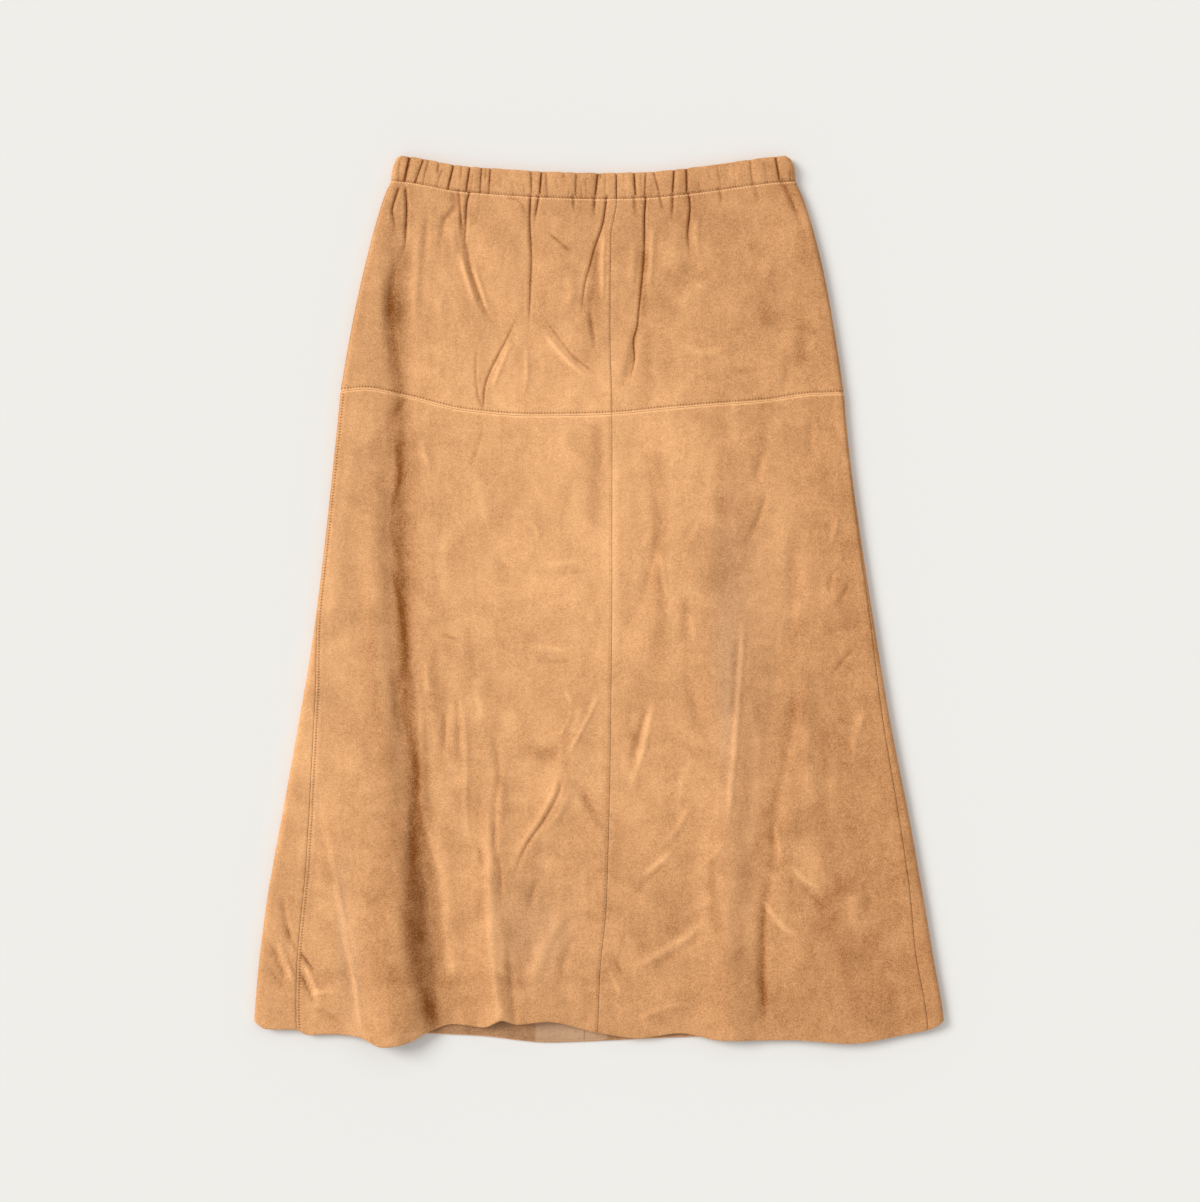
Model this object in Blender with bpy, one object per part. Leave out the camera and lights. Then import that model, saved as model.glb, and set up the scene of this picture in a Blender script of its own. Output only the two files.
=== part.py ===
"""An a-line midi skirt in suede, laid flat on its back.

The skirt is a flattened tube. X runs across it, +Y towards the waist and +Z up, and the origin is on the
surface that it lies on, under the middle of its box. Every cut piece is a wall that follows one stretch of the
tube: distances round the tube are measured from the fold at its left side, over the front for positive values
and over the back for negative ones.

Sizes are in millimetres here and become metres when a mesh is made.
"""

import math
from collections import namedtuple

import bmesh
import bpy

METRES = 0.001

# Driving sizes.
WALL = 1.2  # suede
SEAM_GAP = 0.3  # between two pieces at each seam
EDGE_RADIUS = 3.9  # of the fold at each side, to the middle of the wall
BAND_HEIGHT = 23.0  # the casing round the waist, from its seam to its top edge
ELASTIC_WIDTH = 19.0
ELASTIC_THICKNESS = 1.2
HEM_DEPTH = 30.0  # suede turned up inside the hem
HEM_TURN_RADIUS = 0.75  # of the turn at the hem, to the middle of the wall
REST_HEIGHT = 5.2  # middle of the front wall where the front lies slack over the back
LEAST_HEIGHT = 2.9  # middle of the front wall at its lowest
LEAST_HEIGHT_AT_HEM = 5.6  # the same, where both hems are turned up under it
SIDE_FALL = 46.0  # over which the front comes down from the fold at a side
BAND_FALL = 52.0  # over which the front comes down from the casing
GATHER_HEIGHT = 1.1  # of the casing's suede between two gathers

# Worked out from them.
HALF_WALL = WALL / 2
HALF_GAP = SEAM_GAP / 2
MID_HEIGHT = HALF_WALL + EDGE_RADIUS  # of the folds' axes
TOP_HEIGHT = MID_HEIGHT + EDGE_RADIUS  # middle of the front wall, over the folds
QUARTER = math.pi * EDGE_RADIUS / 2  # a quarter turn round a side fold
CASING_STEP = HALF_WALL + SEAM_GAP + ELASTIC_THICKNESS / 2  # from a casing wall's middle to the elastic's
BAND_TURN = CASING_STEP + HALF_WALL  # from the top of the casing down to where its turn starts
HEM_TURN = HEM_TURN_RADIUS + HALF_WALL

# The outline seen from above: where each side is at each height on the page.
Outline = namedtuple("Outline", "height left right")
OUTLINE = (
    Outline(399.5, -181.0, 170.5),
    Outline(394.0, -184.0, 174.4),
    Outline(388.0, -186.0, 176.2),
    Outline(375.0, -187.8, 177.4),
    Outline(370.0, -190.6, 180.0),
    Outline(352.0, -197.0, 187.0),
    Outline(298.0, -211.5, 201.5),
    Outline(244.0, -223.0, 211.5),
    Outline(190.0, -232.0, 219.5),
    Outline(135.0, -237.8, 225.0),
    Outline(54.0, -246.5, 235.8),
    Outline(-27.0, -256.5, 248.4),
    Outline(-108.0, -270.0, 262.0),
    Outline(-189.0, -284.5, 278.0),
    Outline(-270.0, -299.0, 292.5),
    Outline(-324.0, -306.0, 301.5),
    Outline(-364.0, -309.6, 308.7),
    Outline(-378.0, -310.5, 310.5),
)

# How far the back panels come round each side fold on to the front, at each height.
Wrap = namedtuple("Wrap", "height left right")
WRAPS = (
    Wrap(400.0, 2.0, 2.0),
    Wrap(100.0, 2.0, 3.0),
    Wrap(0.0, 2.5, 4.2),
    Wrap(-90.0, 13.0, 7.6),
    Wrap(-158.0, 21.5, 9.8),
    Wrap(-206.0, 27.5, 11.2),
    Wrap(-255.0, 33.0, 12.8),
    Wrap(-325.0, 36.0, 17.2),
    Wrap(-384.0, 40.0, 16.8),
)

# The lines that run across the skirt, from left to right.
Point = namedtuple("Point", "across height")
WAIST_EDGE = (
    Point(-187.0, 400.4),
    Point(-172.0, 399.0),
    Point(-157.0, 396.6),
    Point(-129.0, 391.2),
    Point(-100.0, 388.6),
    Point(-42.0, 385.0),
    Point(0.0, 384.0),
    Point(44.0, 385.0),
    Point(73.0, 387.6),
    Point(102.0, 391.2),
    Point(145.0, 397.2),
    Point(160.0, 398.9),
    Point(177.0, 399.8),
)
FRONT_YOKE_SEAM = (
    Point(-232.0, 188.0),
    Point(-210.0, 190.0),
    Point(-180.0, 185.0),
    Point(-118.0, 170.5),
    Point(-60.0, 166.0),
    Point(0.0, 167.0),
    Point(73.0, 173.5),
    Point(150.0, 179.5),
    Point(190.0, 185.0),
    Point(221.0, 186.0),
)
BACK_YOKE_SEAM = (Point(-232.0, 188.0), Point(0.0, 182.0), Point(221.0, 186.0))
FRONT_HEM = (
    Point(-311.0, -378.5),
    Point(-300.0, -385.5),
    Point(-272.0, -386.5),
    Point(-262.0, -391.0),
    Point(-240.0, -390.4),
    Point(-216.0, -392.5),
    Point(-194.0, -400.4),
    Point(-172.0, -397.5),
    Point(-150.0, -386.5),
    Point(-132.0, -381.5),
    Point(-104.0, -384.0),
    Point(-87.0, -377.0),
    Point(-72.0, -381.0),
    Point(-48.0, -378.6),
    Point(0.0, -389.5),
    Point(36.0, -394.0),
    Point(73.0, -389.5),
    Point(110.0, -395.6),
    Point(178.0, -395.8),
    Point(225.0, -398.4),
    Point(277.0, -390.4),
    Point(300.0, -385.2),
    Point(311.0, -378.5),
)
BACK_HEM = (
    Point(-311.0, -378.5),
    Point(-296.0, -384.5),
    Point(-250.0, -387.0),
    Point(-157.0, -390.2),
    Point(-110.0, -392.2),
    Point(-46.0, -398.4),
    Point(10.0, -396.5),
    Point(83.0, -393.4),
    Point(200.0, -391.0),
    Point(296.0, -384.0),
    Point(311.0, -378.5),
)

# The seams that run down the middle, from the waist to the hem.
CENTRE_FRONT = (
    Point(15.5, 400.0),
    Point(15.8, 360.0),
    Point(10.8, 328.0),
    Point(9.9, 243.0),
    Point(11.7, 168.0),
    Point(11.7, 36.0),
    Point(10.8, -90.0),
    Point(6.8, -270.0),
    Point(0.5, -341.0),
    Point(-1.4, -400.0),
)
CENTRE_BACK = (Point(-4.0, 200.0), Point(-8.0, -100.0), Point(-13.5, -400.0))

# The largest folds of the front. Each is a line of points, with how far the suede rises there (or sinks, below
# zero) and half the fold's width.
Fold = namedtuple("Fold", "across height rise half_width")
FOLDS = {
    "roll down the left side": (
        Fold(-211.0, -90.0, 1.0, 30.0),
        Fold(-204.0, -180.0, 5.0, 32.0),
        Fold(-199.0, -270.0, 9.0, 32.0),
        Fold(-190.0, -360.0, 13.0, 28.0),
        Fold(-189.0, -401.0, 15.0, 26.0),
    ),
    "hollow beside the roll": (
        Fold(-181.0, 160.0, -2.0, 15.0),
        Fold(-186.0, 36.0, -3.0, 15.0),
        Fold(-168.0, -126.0, -3.5, 15.0),
        Fold(-152.0, -297.0, -3.0, 15.0),
        Fold(-142.0, -387.0, -2.0, 15.0),
    ),
    "ridge to the lifted hem": (
        Fold(-99.0, -176.0, 2.0, 16.0),
        Fold(-96.0, -277.0, 6.0, 16.0),
        Fold(-88.0, -378.0, 9.0, 16.0),
    ),
    "crease across the left panel": (
        Fold(-18.0, -106.0, 2.0, 12.0),
        Fold(-36.0, -176.0, 4.0, 13.0),
        Fold(-74.0, -247.0, 3.0, 13.0),
    ),
    "lift beside the middle seam": (
        Fold(-50.0, -290.0, 1.0, 24.0),
        Fold(-52.0, -378.0, 6.0, 28.0),
    ),
    "hollow right of the middle": (
        Fold(33.0, 150.0, -1.5, 14.0),
        Fold(50.0, 77.0, -3.0, 14.0),
        Fold(24.0, -31.0, -2.0, 14.0),
    ),
    "ridge down the right panel": (
        Fold(140.0, 120.0, 1.0, 22.0),
        Fold(128.0, -45.0, 4.0, 20.0),
        Fold(115.0, -217.0, 4.5, 20.0),
        Fold(120.0, -396.0, 6.0, 22.0),
    ),
    "hollow down the right panel": (
        Fold(166.0, -35.0, -2.0, 14.0),
        Fold(154.0, -180.0, -3.5, 14.0),
        Fold(136.0, -294.0, -3.0, 14.0),
        Fold(141.0, -357.0, -1.0, 14.0),
    ),
    "lift of the right hem": (
        Fold(205.0, -250.0, 1.0, 40.0),
        Fold(215.0, -398.0, 5.0, 42.0),
    ),
    "left hollow of the yoke": (
        Fold(-186.0, 350.0, -3.0, 13.0),
        Fold(-186.0, 297.0, -4.0, 13.0),
        Fold(-176.0, 190.0, -3.0, 15.0),
    ),
    "slanting hollow of the yoke": (
        Fold(-121.0, 340.0, -2.5, 11.0),
        Fold(-91.0, 239.0, -2.5, 11.0),
    ),
    "hollow left of the middle": (
        Fold(-62.0, 345.0, -2.5, 10.0),
        Fold(-62.0, 230.0, -1.5, 10.0),
    ),
    "pleat beside the middle seam": (
        Fold(3.0, 350.0, -3.0, 10.0),
        Fold(-9.0, 270.0, -2.0, 12.0),
    ),
    "crease right of the middle": (
        Fold(41.0, 350.0, -3.5, 10.0),
        Fold(33.0, 244.0, -2.0, 11.0),
    ),
    "crease of the right yoke": (
        Fold(81.0, 350.0, -2.5, 10.0),
        Fold(82.0, 300.0, -1.5, 10.0),
    ),
}

# Where the elastic draws the front of the casing into a gather, and how deep that gather is, from 0 to 1.
Gather = namedtuple("Gather", "across depth")
GATHERS = (
    Gather(-174.0, 1.0),
    Gather(-156.0, 0.7),
    Gather(-144.0, 0.6),
    Gather(-133.0, 0.9),
    Gather(-117.0, 0.9),
    Gather(-105.0, 0.8),
    Gather(-87.0, 0.4),
    Gather(-60.0, 0.5),
    Gather(-51.0, 0.8),
    Gather(-21.0, 0.5),
    Gather(-2.0, 0.9),
    Gather(33.0, 0.9),
    Gather(50.0, 0.6),
    Gather(67.0, 0.9),
    Gather(79.0, 0.7),
    Gather(108.0, 0.4),
    Gather(137.0, 0.6),
    Gather(161.0, 0.6),
)

# Where the walls' sections stand: shares of a piece's width from its side edge, and of its length.
FRONT_COLUMNS = (0.0, 0.01, 0.026, 0.06) + tuple(0.105 + 0.895 * step / 12 for step in range(13))
ROUND_FOLD = (0.0, 0.08, 0.16, 0.3, 0.62, 1.0)  # of the wrap, from the side fold to the seam
YOKE_ROWS = (0.0, 0.09, 0.21, 0.35, 0.5, 0.66, 0.83, 1.0)
LOWER_ROWS = tuple(0.88 * step / 11 for step in range(12)) + (0.94, 1.0)
HEM_ANGLES = (60.0, 120.0)
HEM_ROWS = (0.0, 0.5, 1.0)  # of the hem's depth
CASING_ROWS = (0.0, 0.5, 1.0)  # of the casing, from its seam to its turn
CASING_ANGLES = (60.0, 120.0)
BAND_STATION = 20.0  # between two sections of the casing's back, and of the elastic
TINY = 0.01  # a step for measuring a slope

Finish = namedtuple("Finish", "colour roughness")
SUEDE = Finish((0.70, 0.37, 0.16), 0.9)
SUEDE_BACK = Finish((0.62, 0.32, 0.14), 0.92)
ELASTIC = Finish((0.80, 0.77, 0.70), 0.7)


def curve_through(points):
    """A smooth function through (place, value) pairs, which never swings past them."""
    places, values = zip(*sorted(points))
    secants = [
        (values[k + 1] - values[k]) / (places[k + 1] - places[k]) for k in range(len(places) - 1)
    ]
    inner = [0.0 if a * b <= 0 else 2 * a * b / (a + b) for a, b in zip(secants, secants[1:])]
    slopes = [secants[0], *inner, secants[-1]]

    def value(place):
        if place <= places[0]:
            return values[0]
        if place >= places[-1]:
            return values[-1]
        k = max(k for k in range(len(places) - 1) if places[k] <= place)
        span = places[k + 1] - places[k]
        t = (place - places[k]) / span
        start = values[k] * (1 + 2 * t) * (1 - t) ** 2 + slopes[k] * span * t * (1 - t) ** 2
        end = values[k + 1] * t * t * (3 - 2 * t) - slopes[k + 1] * span * t * t * (1 - t)
        return start + end

    return value


left_edge = curve_through((row.height, row.left) for row in OUTLINE)
right_edge = curve_through((row.height, row.right) for row in OUTLINE)
left_wrap = curve_through((row.height, row.left) for row in WRAPS)
right_wrap = curve_through((row.height, row.right) for row in WRAPS)
waist_edge = curve_through(WAIST_EDGE)
front_yoke_seam = curve_through(FRONT_YOKE_SEAM)
back_yoke_seam = curve_through(BACK_YOKE_SEAM)
front_hem = curve_through(FRONT_HEM)
back_hem = curve_through(BACK_HEM)
centre_front = curve_through((row.height, row.across) for row in CENTRE_FRONT)
centre_back = curve_through((row.height, row.across) for row in CENTRE_BACK)


def eased(share):
    """0 below 0, 1 above 1, and a soft step between."""
    share = min(max(share, 0.0), 1.0)
    return share * share * (3 - 2 * share)


def casing_seam(across):
    return waist_edge(across) - BAND_HEIGHT


def yoke_seam(across, on_front):
    return front_yoke_seam(across) if on_front else back_yoke_seam(across)


def hem_line(across, on_front):
    """Where the turn at the hem starts."""
    edge = front_hem(across) if on_front else back_hem(across)
    return edge + HEM_TURN


def rise_of(fold, across, height):
    """How far one fold lifts the suede at a point."""
    nearest = None
    for start, end in zip(fold, fold[1:]):
        run = (end.across - start.across, end.height - start.height)
        share = (across - start.across) * run[0] + (height - start.height) * run[1]
        share = min(max(share / (run[0] ** 2 + run[1] ** 2), 0.0), 1.0)
        aside = math.hypot(
            across - start.across - share * run[0], height - start.height - share * run[1]
        )
        half_width = start.half_width + share * (end.half_width - start.half_width)
        rise = start.rise + share * (end.rise - start.rise)
        if nearest is None or aside < nearest[0]:
            nearest = (aside, rise * math.exp(-((aside / half_width) ** 2)))
    return nearest[1]


def front_height(across, height, to_side):
    """The middle of the front wall above the surface, at a point that far in from the nearer side fold."""
    near_hem = eased((front_hem(across) + HEM_DEPTH + 22.0 - height) / 18.0)
    least = LEAST_HEIGHT + near_hem * (LEAST_HEIGHT_AT_HEM - LEAST_HEIGHT)
    slack = REST_HEIGHT + 0.8 * near_hem + sum(rise_of(fold, across, height) for fold in FOLDS.values())
    above = slack - least
    slack = least + (above + math.hypot(above, 1.0)) / 2
    held = 1 - eased(to_side / SIDE_FALL) * eased((casing_seam(across) - height) / BAND_FALL)
    return slack + held * (TOP_HEIGHT - slack)


def girth(height):
    """From the left fold to the right one, over the front."""
    return right_edge(height) - left_edge(height) - WALL - 2 * EDGE_RADIUS + 2 * QUARTER


def tube_point(along, height):
    """The middle of the wall at a distance round the tube, and whether it is on the front."""
    length = girth(height)
    along = (along + length) % (2 * length) - length
    on_front = along >= 0
    side = 1 if on_front else -1
    in_left = abs(along)
    in_right = length - in_left
    left = left_edge(height) + HALF_WALL + EDGE_RADIUS
    right = right_edge(height) - HALF_WALL - EDGE_RADIUS
    if in_left < QUARTER:
        angle = in_left / EDGE_RADIUS
        point = (left - EDGE_RADIUS * math.cos(angle), MID_HEIGHT + side * EDGE_RADIUS * math.sin(angle))
    elif in_right < QUARTER:
        angle = in_right / EDGE_RADIUS
        point = (right + EDGE_RADIUS * math.cos(angle), MID_HEIGHT + side * EDGE_RADIUS * math.sin(angle))
    else:
        across = left + in_left - QUARTER
        to_side = min(in_left, in_right) - QUARTER
        point = (across, front_height(across, height, to_side) if on_front else HALF_WALL)
    return (point[0], height, point[1]), on_front


def along_at(across, height, on_front=True):
    """The distance round the tube of a point between the side folds."""
    along = across - (left_edge(height) + HALF_WALL + EDGE_RADIUS) + QUARTER
    return along if on_front else -along


def minus(a, b):
    return tuple(p - q for p, q in zip(a, b))


def moved(point, *steps):
    """The point after each (direction, distance) step."""
    for direction, distance in steps:
        point = tuple(p + distance * d for p, d in zip(point, direction))
    return point


def unit(vector):
    size = math.sqrt(sum(v * v for v in vector))
    return tuple(v / size for v in vector)


def cross(a, b):
    return (a[1] * b[2] - a[2] * b[1], a[2] * b[0] - a[0] * b[2], a[0] * b[1] - a[1] * b[0])


def frame_at(along, height):
    """A point of the tube, the way out of its wall, and the way up the wall towards the waist."""
    point, _ = tube_point(along, height)
    round_tube = minus(tube_point(along + TINY, height)[0], tube_point(along - TINY, height)[0])
    upwards = minus(tube_point(along, height + TINY)[0], tube_point(along, height - TINY)[0])
    out = unit(cross(round_tube, upwards))
    return point, out, unit(cross(out, round_tube))


def placed(share, span, line_at):
    """(along, height) of a point that share of the way across a piece, on a line across the tube."""
    height = line_at(0.0, True)
    for _ in range(8):
        start, end = span(height)
        along = start + share * (end - start)
        point, on_front = tube_point(along, height)
        height = line_at(point[0], on_front)
    return along, height


def turned(point, out, way, radius, degrees):
    """A wall that has gone that far round a turn to its inside: its middle and the way out of it."""
    angle = math.radians(degrees)
    middle = moved(point, (way, radius * math.sin(angle)), (out, -radius * (1 - math.cos(angle))))
    return middle, unit(moved((0, 0, 0), (out, math.cos(angle)), (way, math.sin(angle))))


def plain_rows(span, columns, rows, top, bottom):
    """Sections of a piece between two lines that run across the tube."""
    grid = []
    for row in rows:

        def line_at(across, on_front):
            start = top(across, on_front)
            return start + row * (bottom(across, on_front) - start)

        grid.append([frame_at(*placed(share, span, line_at))[:2] for share in columns])
    return grid


def hem_rows(span, columns):
    """Sections of the turn at the hem and of the suede turned up inside it."""
    grid = []
    edge = [frame_at(*placed(share, span, hem_line)) for share in columns]
    for degrees in HEM_ANGLES:
        grid.append(
            [turned(point, out, minus((0, 0, 0), up), HEM_TURN_RADIUS, degrees) for point, out, up in edge]
        )
    for row in HEM_ROWS:

        def line_at(across, on_front):
            return hem_line(across, on_front) + row * HEM_DEPTH

        inside = [frame_at(*placed(share, span, line_at)) for share in columns]
        grid.append([turned(point, out, up, HEM_TURN_RADIUS, 180.0) for point, out, up in inside])
    return grid


def gathered(across, share):
    """How far the front of the casing stands out, at a share of its height from its seam."""
    dips = (gather.depth * max(0.0, 1 - abs(across - gather.across) / 4.5) for gather in GATHERS)
    return GATHER_HEIGHT * (1 - max(dips)) * math.sin(math.pi * 0.8 * share)


def casing_rows(span, columns, on_front):
    """Sections of the casing: up its outer wall, over the elastic and down its inner wall."""
    turn_height = BAND_HEIGHT - BAND_TURN

    def sections(row):
        def line_at(across, _on_front):
            return casing_seam(across) + HALF_GAP + row * (turn_height - HALF_GAP)

        return [frame_at(*placed(share, span, line_at)) for share in columns]

    grid = []
    for row in CASING_ROWS:
        section = []
        for point, out, _ in sections(row):
            stand = gathered(point[0], row) if on_front and out[2] > 0.99 else 0.0
            section.append((moved(point, (out, stand)), out))
        grid.append(section)
    for degrees in CASING_ANGLES:
        grid.append([turned(point, out, up, CASING_STEP, degrees) for point, out, up in sections(1.0)])
    for row in reversed(CASING_ROWS):
        grid.append([turned(point, out, up, CASING_STEP, 180.0) for point, out, up in sections(row)])
    return grid


def elastic_rows(columns):
    """Sections of the elastic, a ring inside the casing, at the casing's own heights as far as it goes."""
    grid = []
    for row in CASING_ROWS:
        below = BAND_HEIGHT - row * (BAND_HEIGHT - BAND_TURN)
        below = min(below, BAND_TURN + ELASTIC_WIDTH)

        def line_at(across, _on_front):
            return waist_edge(across) - below

        def whole_turn(height):
            return -girth(height), girth(height)

        ring = [frame_at(*placed(share, whole_turn, line_at)) for share in columns]
        grid.append([(moved(point, (out, -CASING_STEP)), out) for point, out, _ in ring])
    return grid


def wall(name, grid, thickness, finish, closed_ring=False):
    """One object from sections of (middle, way out): two skins that far apart, joined round their rims."""
    rows = len(grid)
    columns = len(grid[0])
    half = thickness / 2
    mesh_builder = bmesh.new()
    skins = []
    for side in (half, -half):
        skins.append(
            [
                [
                    mesh_builder.verts.new([METRES * c for c in moved(point, (out, side))])
                    for point, out in section
                ]
                for section in grid
            ]
        )
    last_column = columns if closed_ring else columns - 1
    for i in range(rows - 1):
        for j in range(last_column):
            right = (j + 1) % columns
            corners = (grid[i][j][0], grid[i][right][0], grid[i + 1][right][0], grid[i + 1][j][0])
            along_falling = math.dist(corners[0], corners[2]) <= math.dist(corners[1], corners[3])
            for skin, flipped in zip(skins, (False, True)):
                quad = [skin[i][j], skin[i][right], skin[i + 1][right], skin[i + 1][j]]
                split = ((0, 1, 2), (0, 2, 3)) if along_falling else ((0, 1, 3), (1, 2, 3))
                for triangle in split:
                    order = triangle[::-1] if flipped else triangle
                    mesh_builder.faces.new([quad[k] for k in order])
    rims = [[(0, j) for j in range(columns)], [(rows - 1, j) for j in range(columns)]]
    if closed_ring:
        rims = [[*rim, rim[0]] for rim in rims]
    else:
        rims += [[(i, 0) for i in range(rows)], [(i, columns - 1) for i in range(rows)]]
    for rim in rims:
        for (i, j), (k, m) in zip(rim, rim[1:]):
            mesh_builder.faces.new((skins[0][i][j], skins[0][k][m], skins[1][k][m], skins[1][i][j]))
    bmesh.ops.recalc_face_normals(mesh_builder, faces=mesh_builder.faces)
    mesh = bpy.data.meshes.new(name)
    mesh_builder.to_mesh(mesh)
    mesh_builder.free()
    mesh.shade_smooth()
    mesh.set_sharp_from_angle(angle=math.radians(50))
    piece = bpy.data.objects.new(name, mesh)
    piece.data.materials.append(material_for(name, finish))
    bpy.context.scene.collection.objects.link(piece)
    return piece


def material_for(name, finish):
    """A plain material of the piece's own."""
    material = bpy.data.materials.new(name)
    material.use_nodes = True
    shader = material.node_tree.nodes["Principled BSDF"]
    shader.inputs["Base Color"].default_value = (*finish.colour, 1.0)
    shader.inputs["Roughness"].default_value = finish.roughness
    shader.inputs["Metallic"].default_value = 0.0
    return material


def left_front_span(height):
    return left_wrap(height) + HALF_GAP, along_at(centre_front(height), height) - HALF_GAP


def right_front_span(height):
    """From the right-hand seam to the middle one."""
    return (
        girth(height) - right_wrap(height) - HALF_GAP,
        along_at(centre_front(height), height) + HALF_GAP,
    )


def whole_back_span(height):
    """From the right-hand seam, over the back, to the left-hand one."""
    return (
        -girth(height) - right_wrap(height) + HALF_GAP,
        left_wrap(height) - HALF_GAP,
    )


def back_columns(span, middle, wraps):
    """Shares of the way over the back, closer together round each side fold."""
    start, end = span
    places = []
    if "right" in wraps:
        folded = start + wraps["right"]
        places += [folded - share * wraps["right"] for share in reversed(ROUND_FOLD)]
        places += [folded + QUARTER * step / 2 for step in (1, 2)]
    places += middle
    if "left" in wraps:
        folded = end - wraps["left"]
        places += [folded - QUARTER * step / 2 for step in (2, 1)]
        places += [folded + share * wraps["left"] for share in ROUND_FOLD]
    return [(place - start) / (end - start) for place in places]


def stations(start, end, step):
    """Places from start to end, about a step apart, without the two ends."""
    count = max(round(abs(end - start) / step), 1)
    return [start + (end - start) * k / count for k in range(1, count)]


def build_casing():
    """The casing round the waist, in three strips, with its elastic. Its side seams lie behind the folds."""
    height = 385.0
    length = girth(height)
    seam = QUARTER + 2.0

    def left_span(at):
        return -seam, along_at(centre_front(at), at) - HALF_GAP

    def right_span(at):
        return girth(at) + seam, along_at(centre_front(at), at) + HALF_GAP

    def back_span(at):
        return -girth(at) + seam + SEAM_GAP, -seam - SEAM_GAP

    lines = [row.across for row in GATHERS]
    lines += [(a + b) / 2 for a, b in zip(lines, lines[1:])]
    fold = [QUARTER * step / 4 for step in range(-4, 5)]
    for name, span_for, turned_fold in (
        ("waistband_front_left", left_span, fold),
        ("waistband_front_right", right_span, [length - place for place in fold]),
    ):
        start, end = span_for(height)
        nearest, furthest = sorted((turned_fold[-1], end))
        gathers = [along_at(across, height) for across in lines]
        gathers = [place for place in gathers if nearest + 2.0 < place < furthest - 2.0]
        places = sorted([start, *turned_fold, *gathers, end], reverse=end < start)
        columns = [(place - start) / (end - start) for place in places]
        wall(name, casing_rows(span_for, columns, True), WALL, SUEDE)
    start, end = back_span(height)
    places = [start, *stations(start, end, BAND_STATION), end]
    columns = [(place - start) / (end - start) for place in places]
    wall("waistband_back", casing_rows(back_span, columns, False), WALL, SUEDE_BACK)

    flat = stations(QUARTER, length - QUARTER, BAND_STATION)
    places = [*fold, *flat, *[length + place for place in fold], *[length + place for place in flat]]
    columns = [(place + length) / (2 * length) for place in places]
    wall("elastic", elastic_rows(columns), ELASTIC_THICKNESS, ELASTIC, closed_ring=True)


def build_yoke():
    """The fitted top part, between the casing and the seam at the hips."""

    def top(across, _on_front):
        return casing_seam(across) - HALF_GAP

    def bottom(across, on_front):
        return yoke_seam(across, on_front) + HALF_GAP

    for name, span_for in (
        ("yoke_front_left", left_front_span),
        ("yoke_front_right", right_front_span),
    ):
        wall(name, plain_rows(span_for, FRONT_COLUMNS, YOKE_ROWS, top, bottom), WALL, SUEDE)
    height = 270.0
    span = whole_back_span(height)
    flat = stations(span[0] + 5.0, span[1] - 5.0, 1.2 * BAND_STATION)
    wraps = {"left": left_wrap(height), "right": right_wrap(height)}
    columns = back_columns(span, flat, wraps)
    wall("yoke_back", plain_rows(whole_back_span, columns, YOKE_ROWS, top, bottom), WALL, SUEDE_BACK)


def build_lower_panels():
    """The four panels below the yoke, each with its hem turned up inside."""

    def top(across, on_front):
        return yoke_seam(across, on_front) - HALF_GAP

    def left_back_span(height):
        return along_at(centre_back(height), height, on_front=False) + HALF_GAP, left_wrap(height) - HALF_GAP

    def right_back_span(height):
        return (
            -girth(height) - right_wrap(height) + HALF_GAP,
            along_at(centre_back(height), height, on_front=False) - HALF_GAP,
        )

    height = -384.0
    wraps = {"left": left_wrap(height), "right": right_wrap(height)}
    left_span = left_back_span(height)
    right_span = right_back_span(height)
    flat_left = [left_span[0] + step * (left_span[1] - left_span[0]) / 6 for step in range(5)]
    flat_right = [right_span[1] + step * (right_span[0] - right_span[1]) / 6 for step in range(5)]
    panels = (
        ("skirt_front_left", left_front_span, FRONT_COLUMNS, SUEDE),
        ("skirt_front_right", right_front_span, FRONT_COLUMNS, SUEDE),
        (
            "skirt_back_left",
            left_back_span,
            back_columns(left_span, flat_left, {"left": wraps["left"]}),
            SUEDE_BACK,
        ),
        (
            "skirt_back_right",
            right_back_span,
            back_columns(right_span, flat_right[::-1], {"right": wraps["right"]}),
            SUEDE_BACK,
        ),
    )
    for name, span_for, columns, finish in panels:
        grid = plain_rows(span_for, columns, LOWER_ROWS, top, hem_line)
        wall(name, grid + hem_rows(span_for, columns), WALL, finish)


def main():
    for thing in list(bpy.data.objects):
        bpy.data.objects.remove(thing, do_unlink=True)
    build_casing()
    build_yoke()
    build_lower_panels()


main()
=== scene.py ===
"""Looks of an a-line midi skirt in suede, which lies flat on its back.

The skirt is a flattened tube of cut pieces. X runs across it, +Y towards the waist and +Z up. Places and sizes are
in millimetres, as a maker measures them, and become metres when a mesh is made. Distances round the tube are
measured from the fold at its left side, over the front for positive values and over the back for negative ones.
Each piece follows its stretch of the tube, with its creases, gathers and seams laid on it.
"""

import math
from collections import namedtuple
from itertools import starmap

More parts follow.
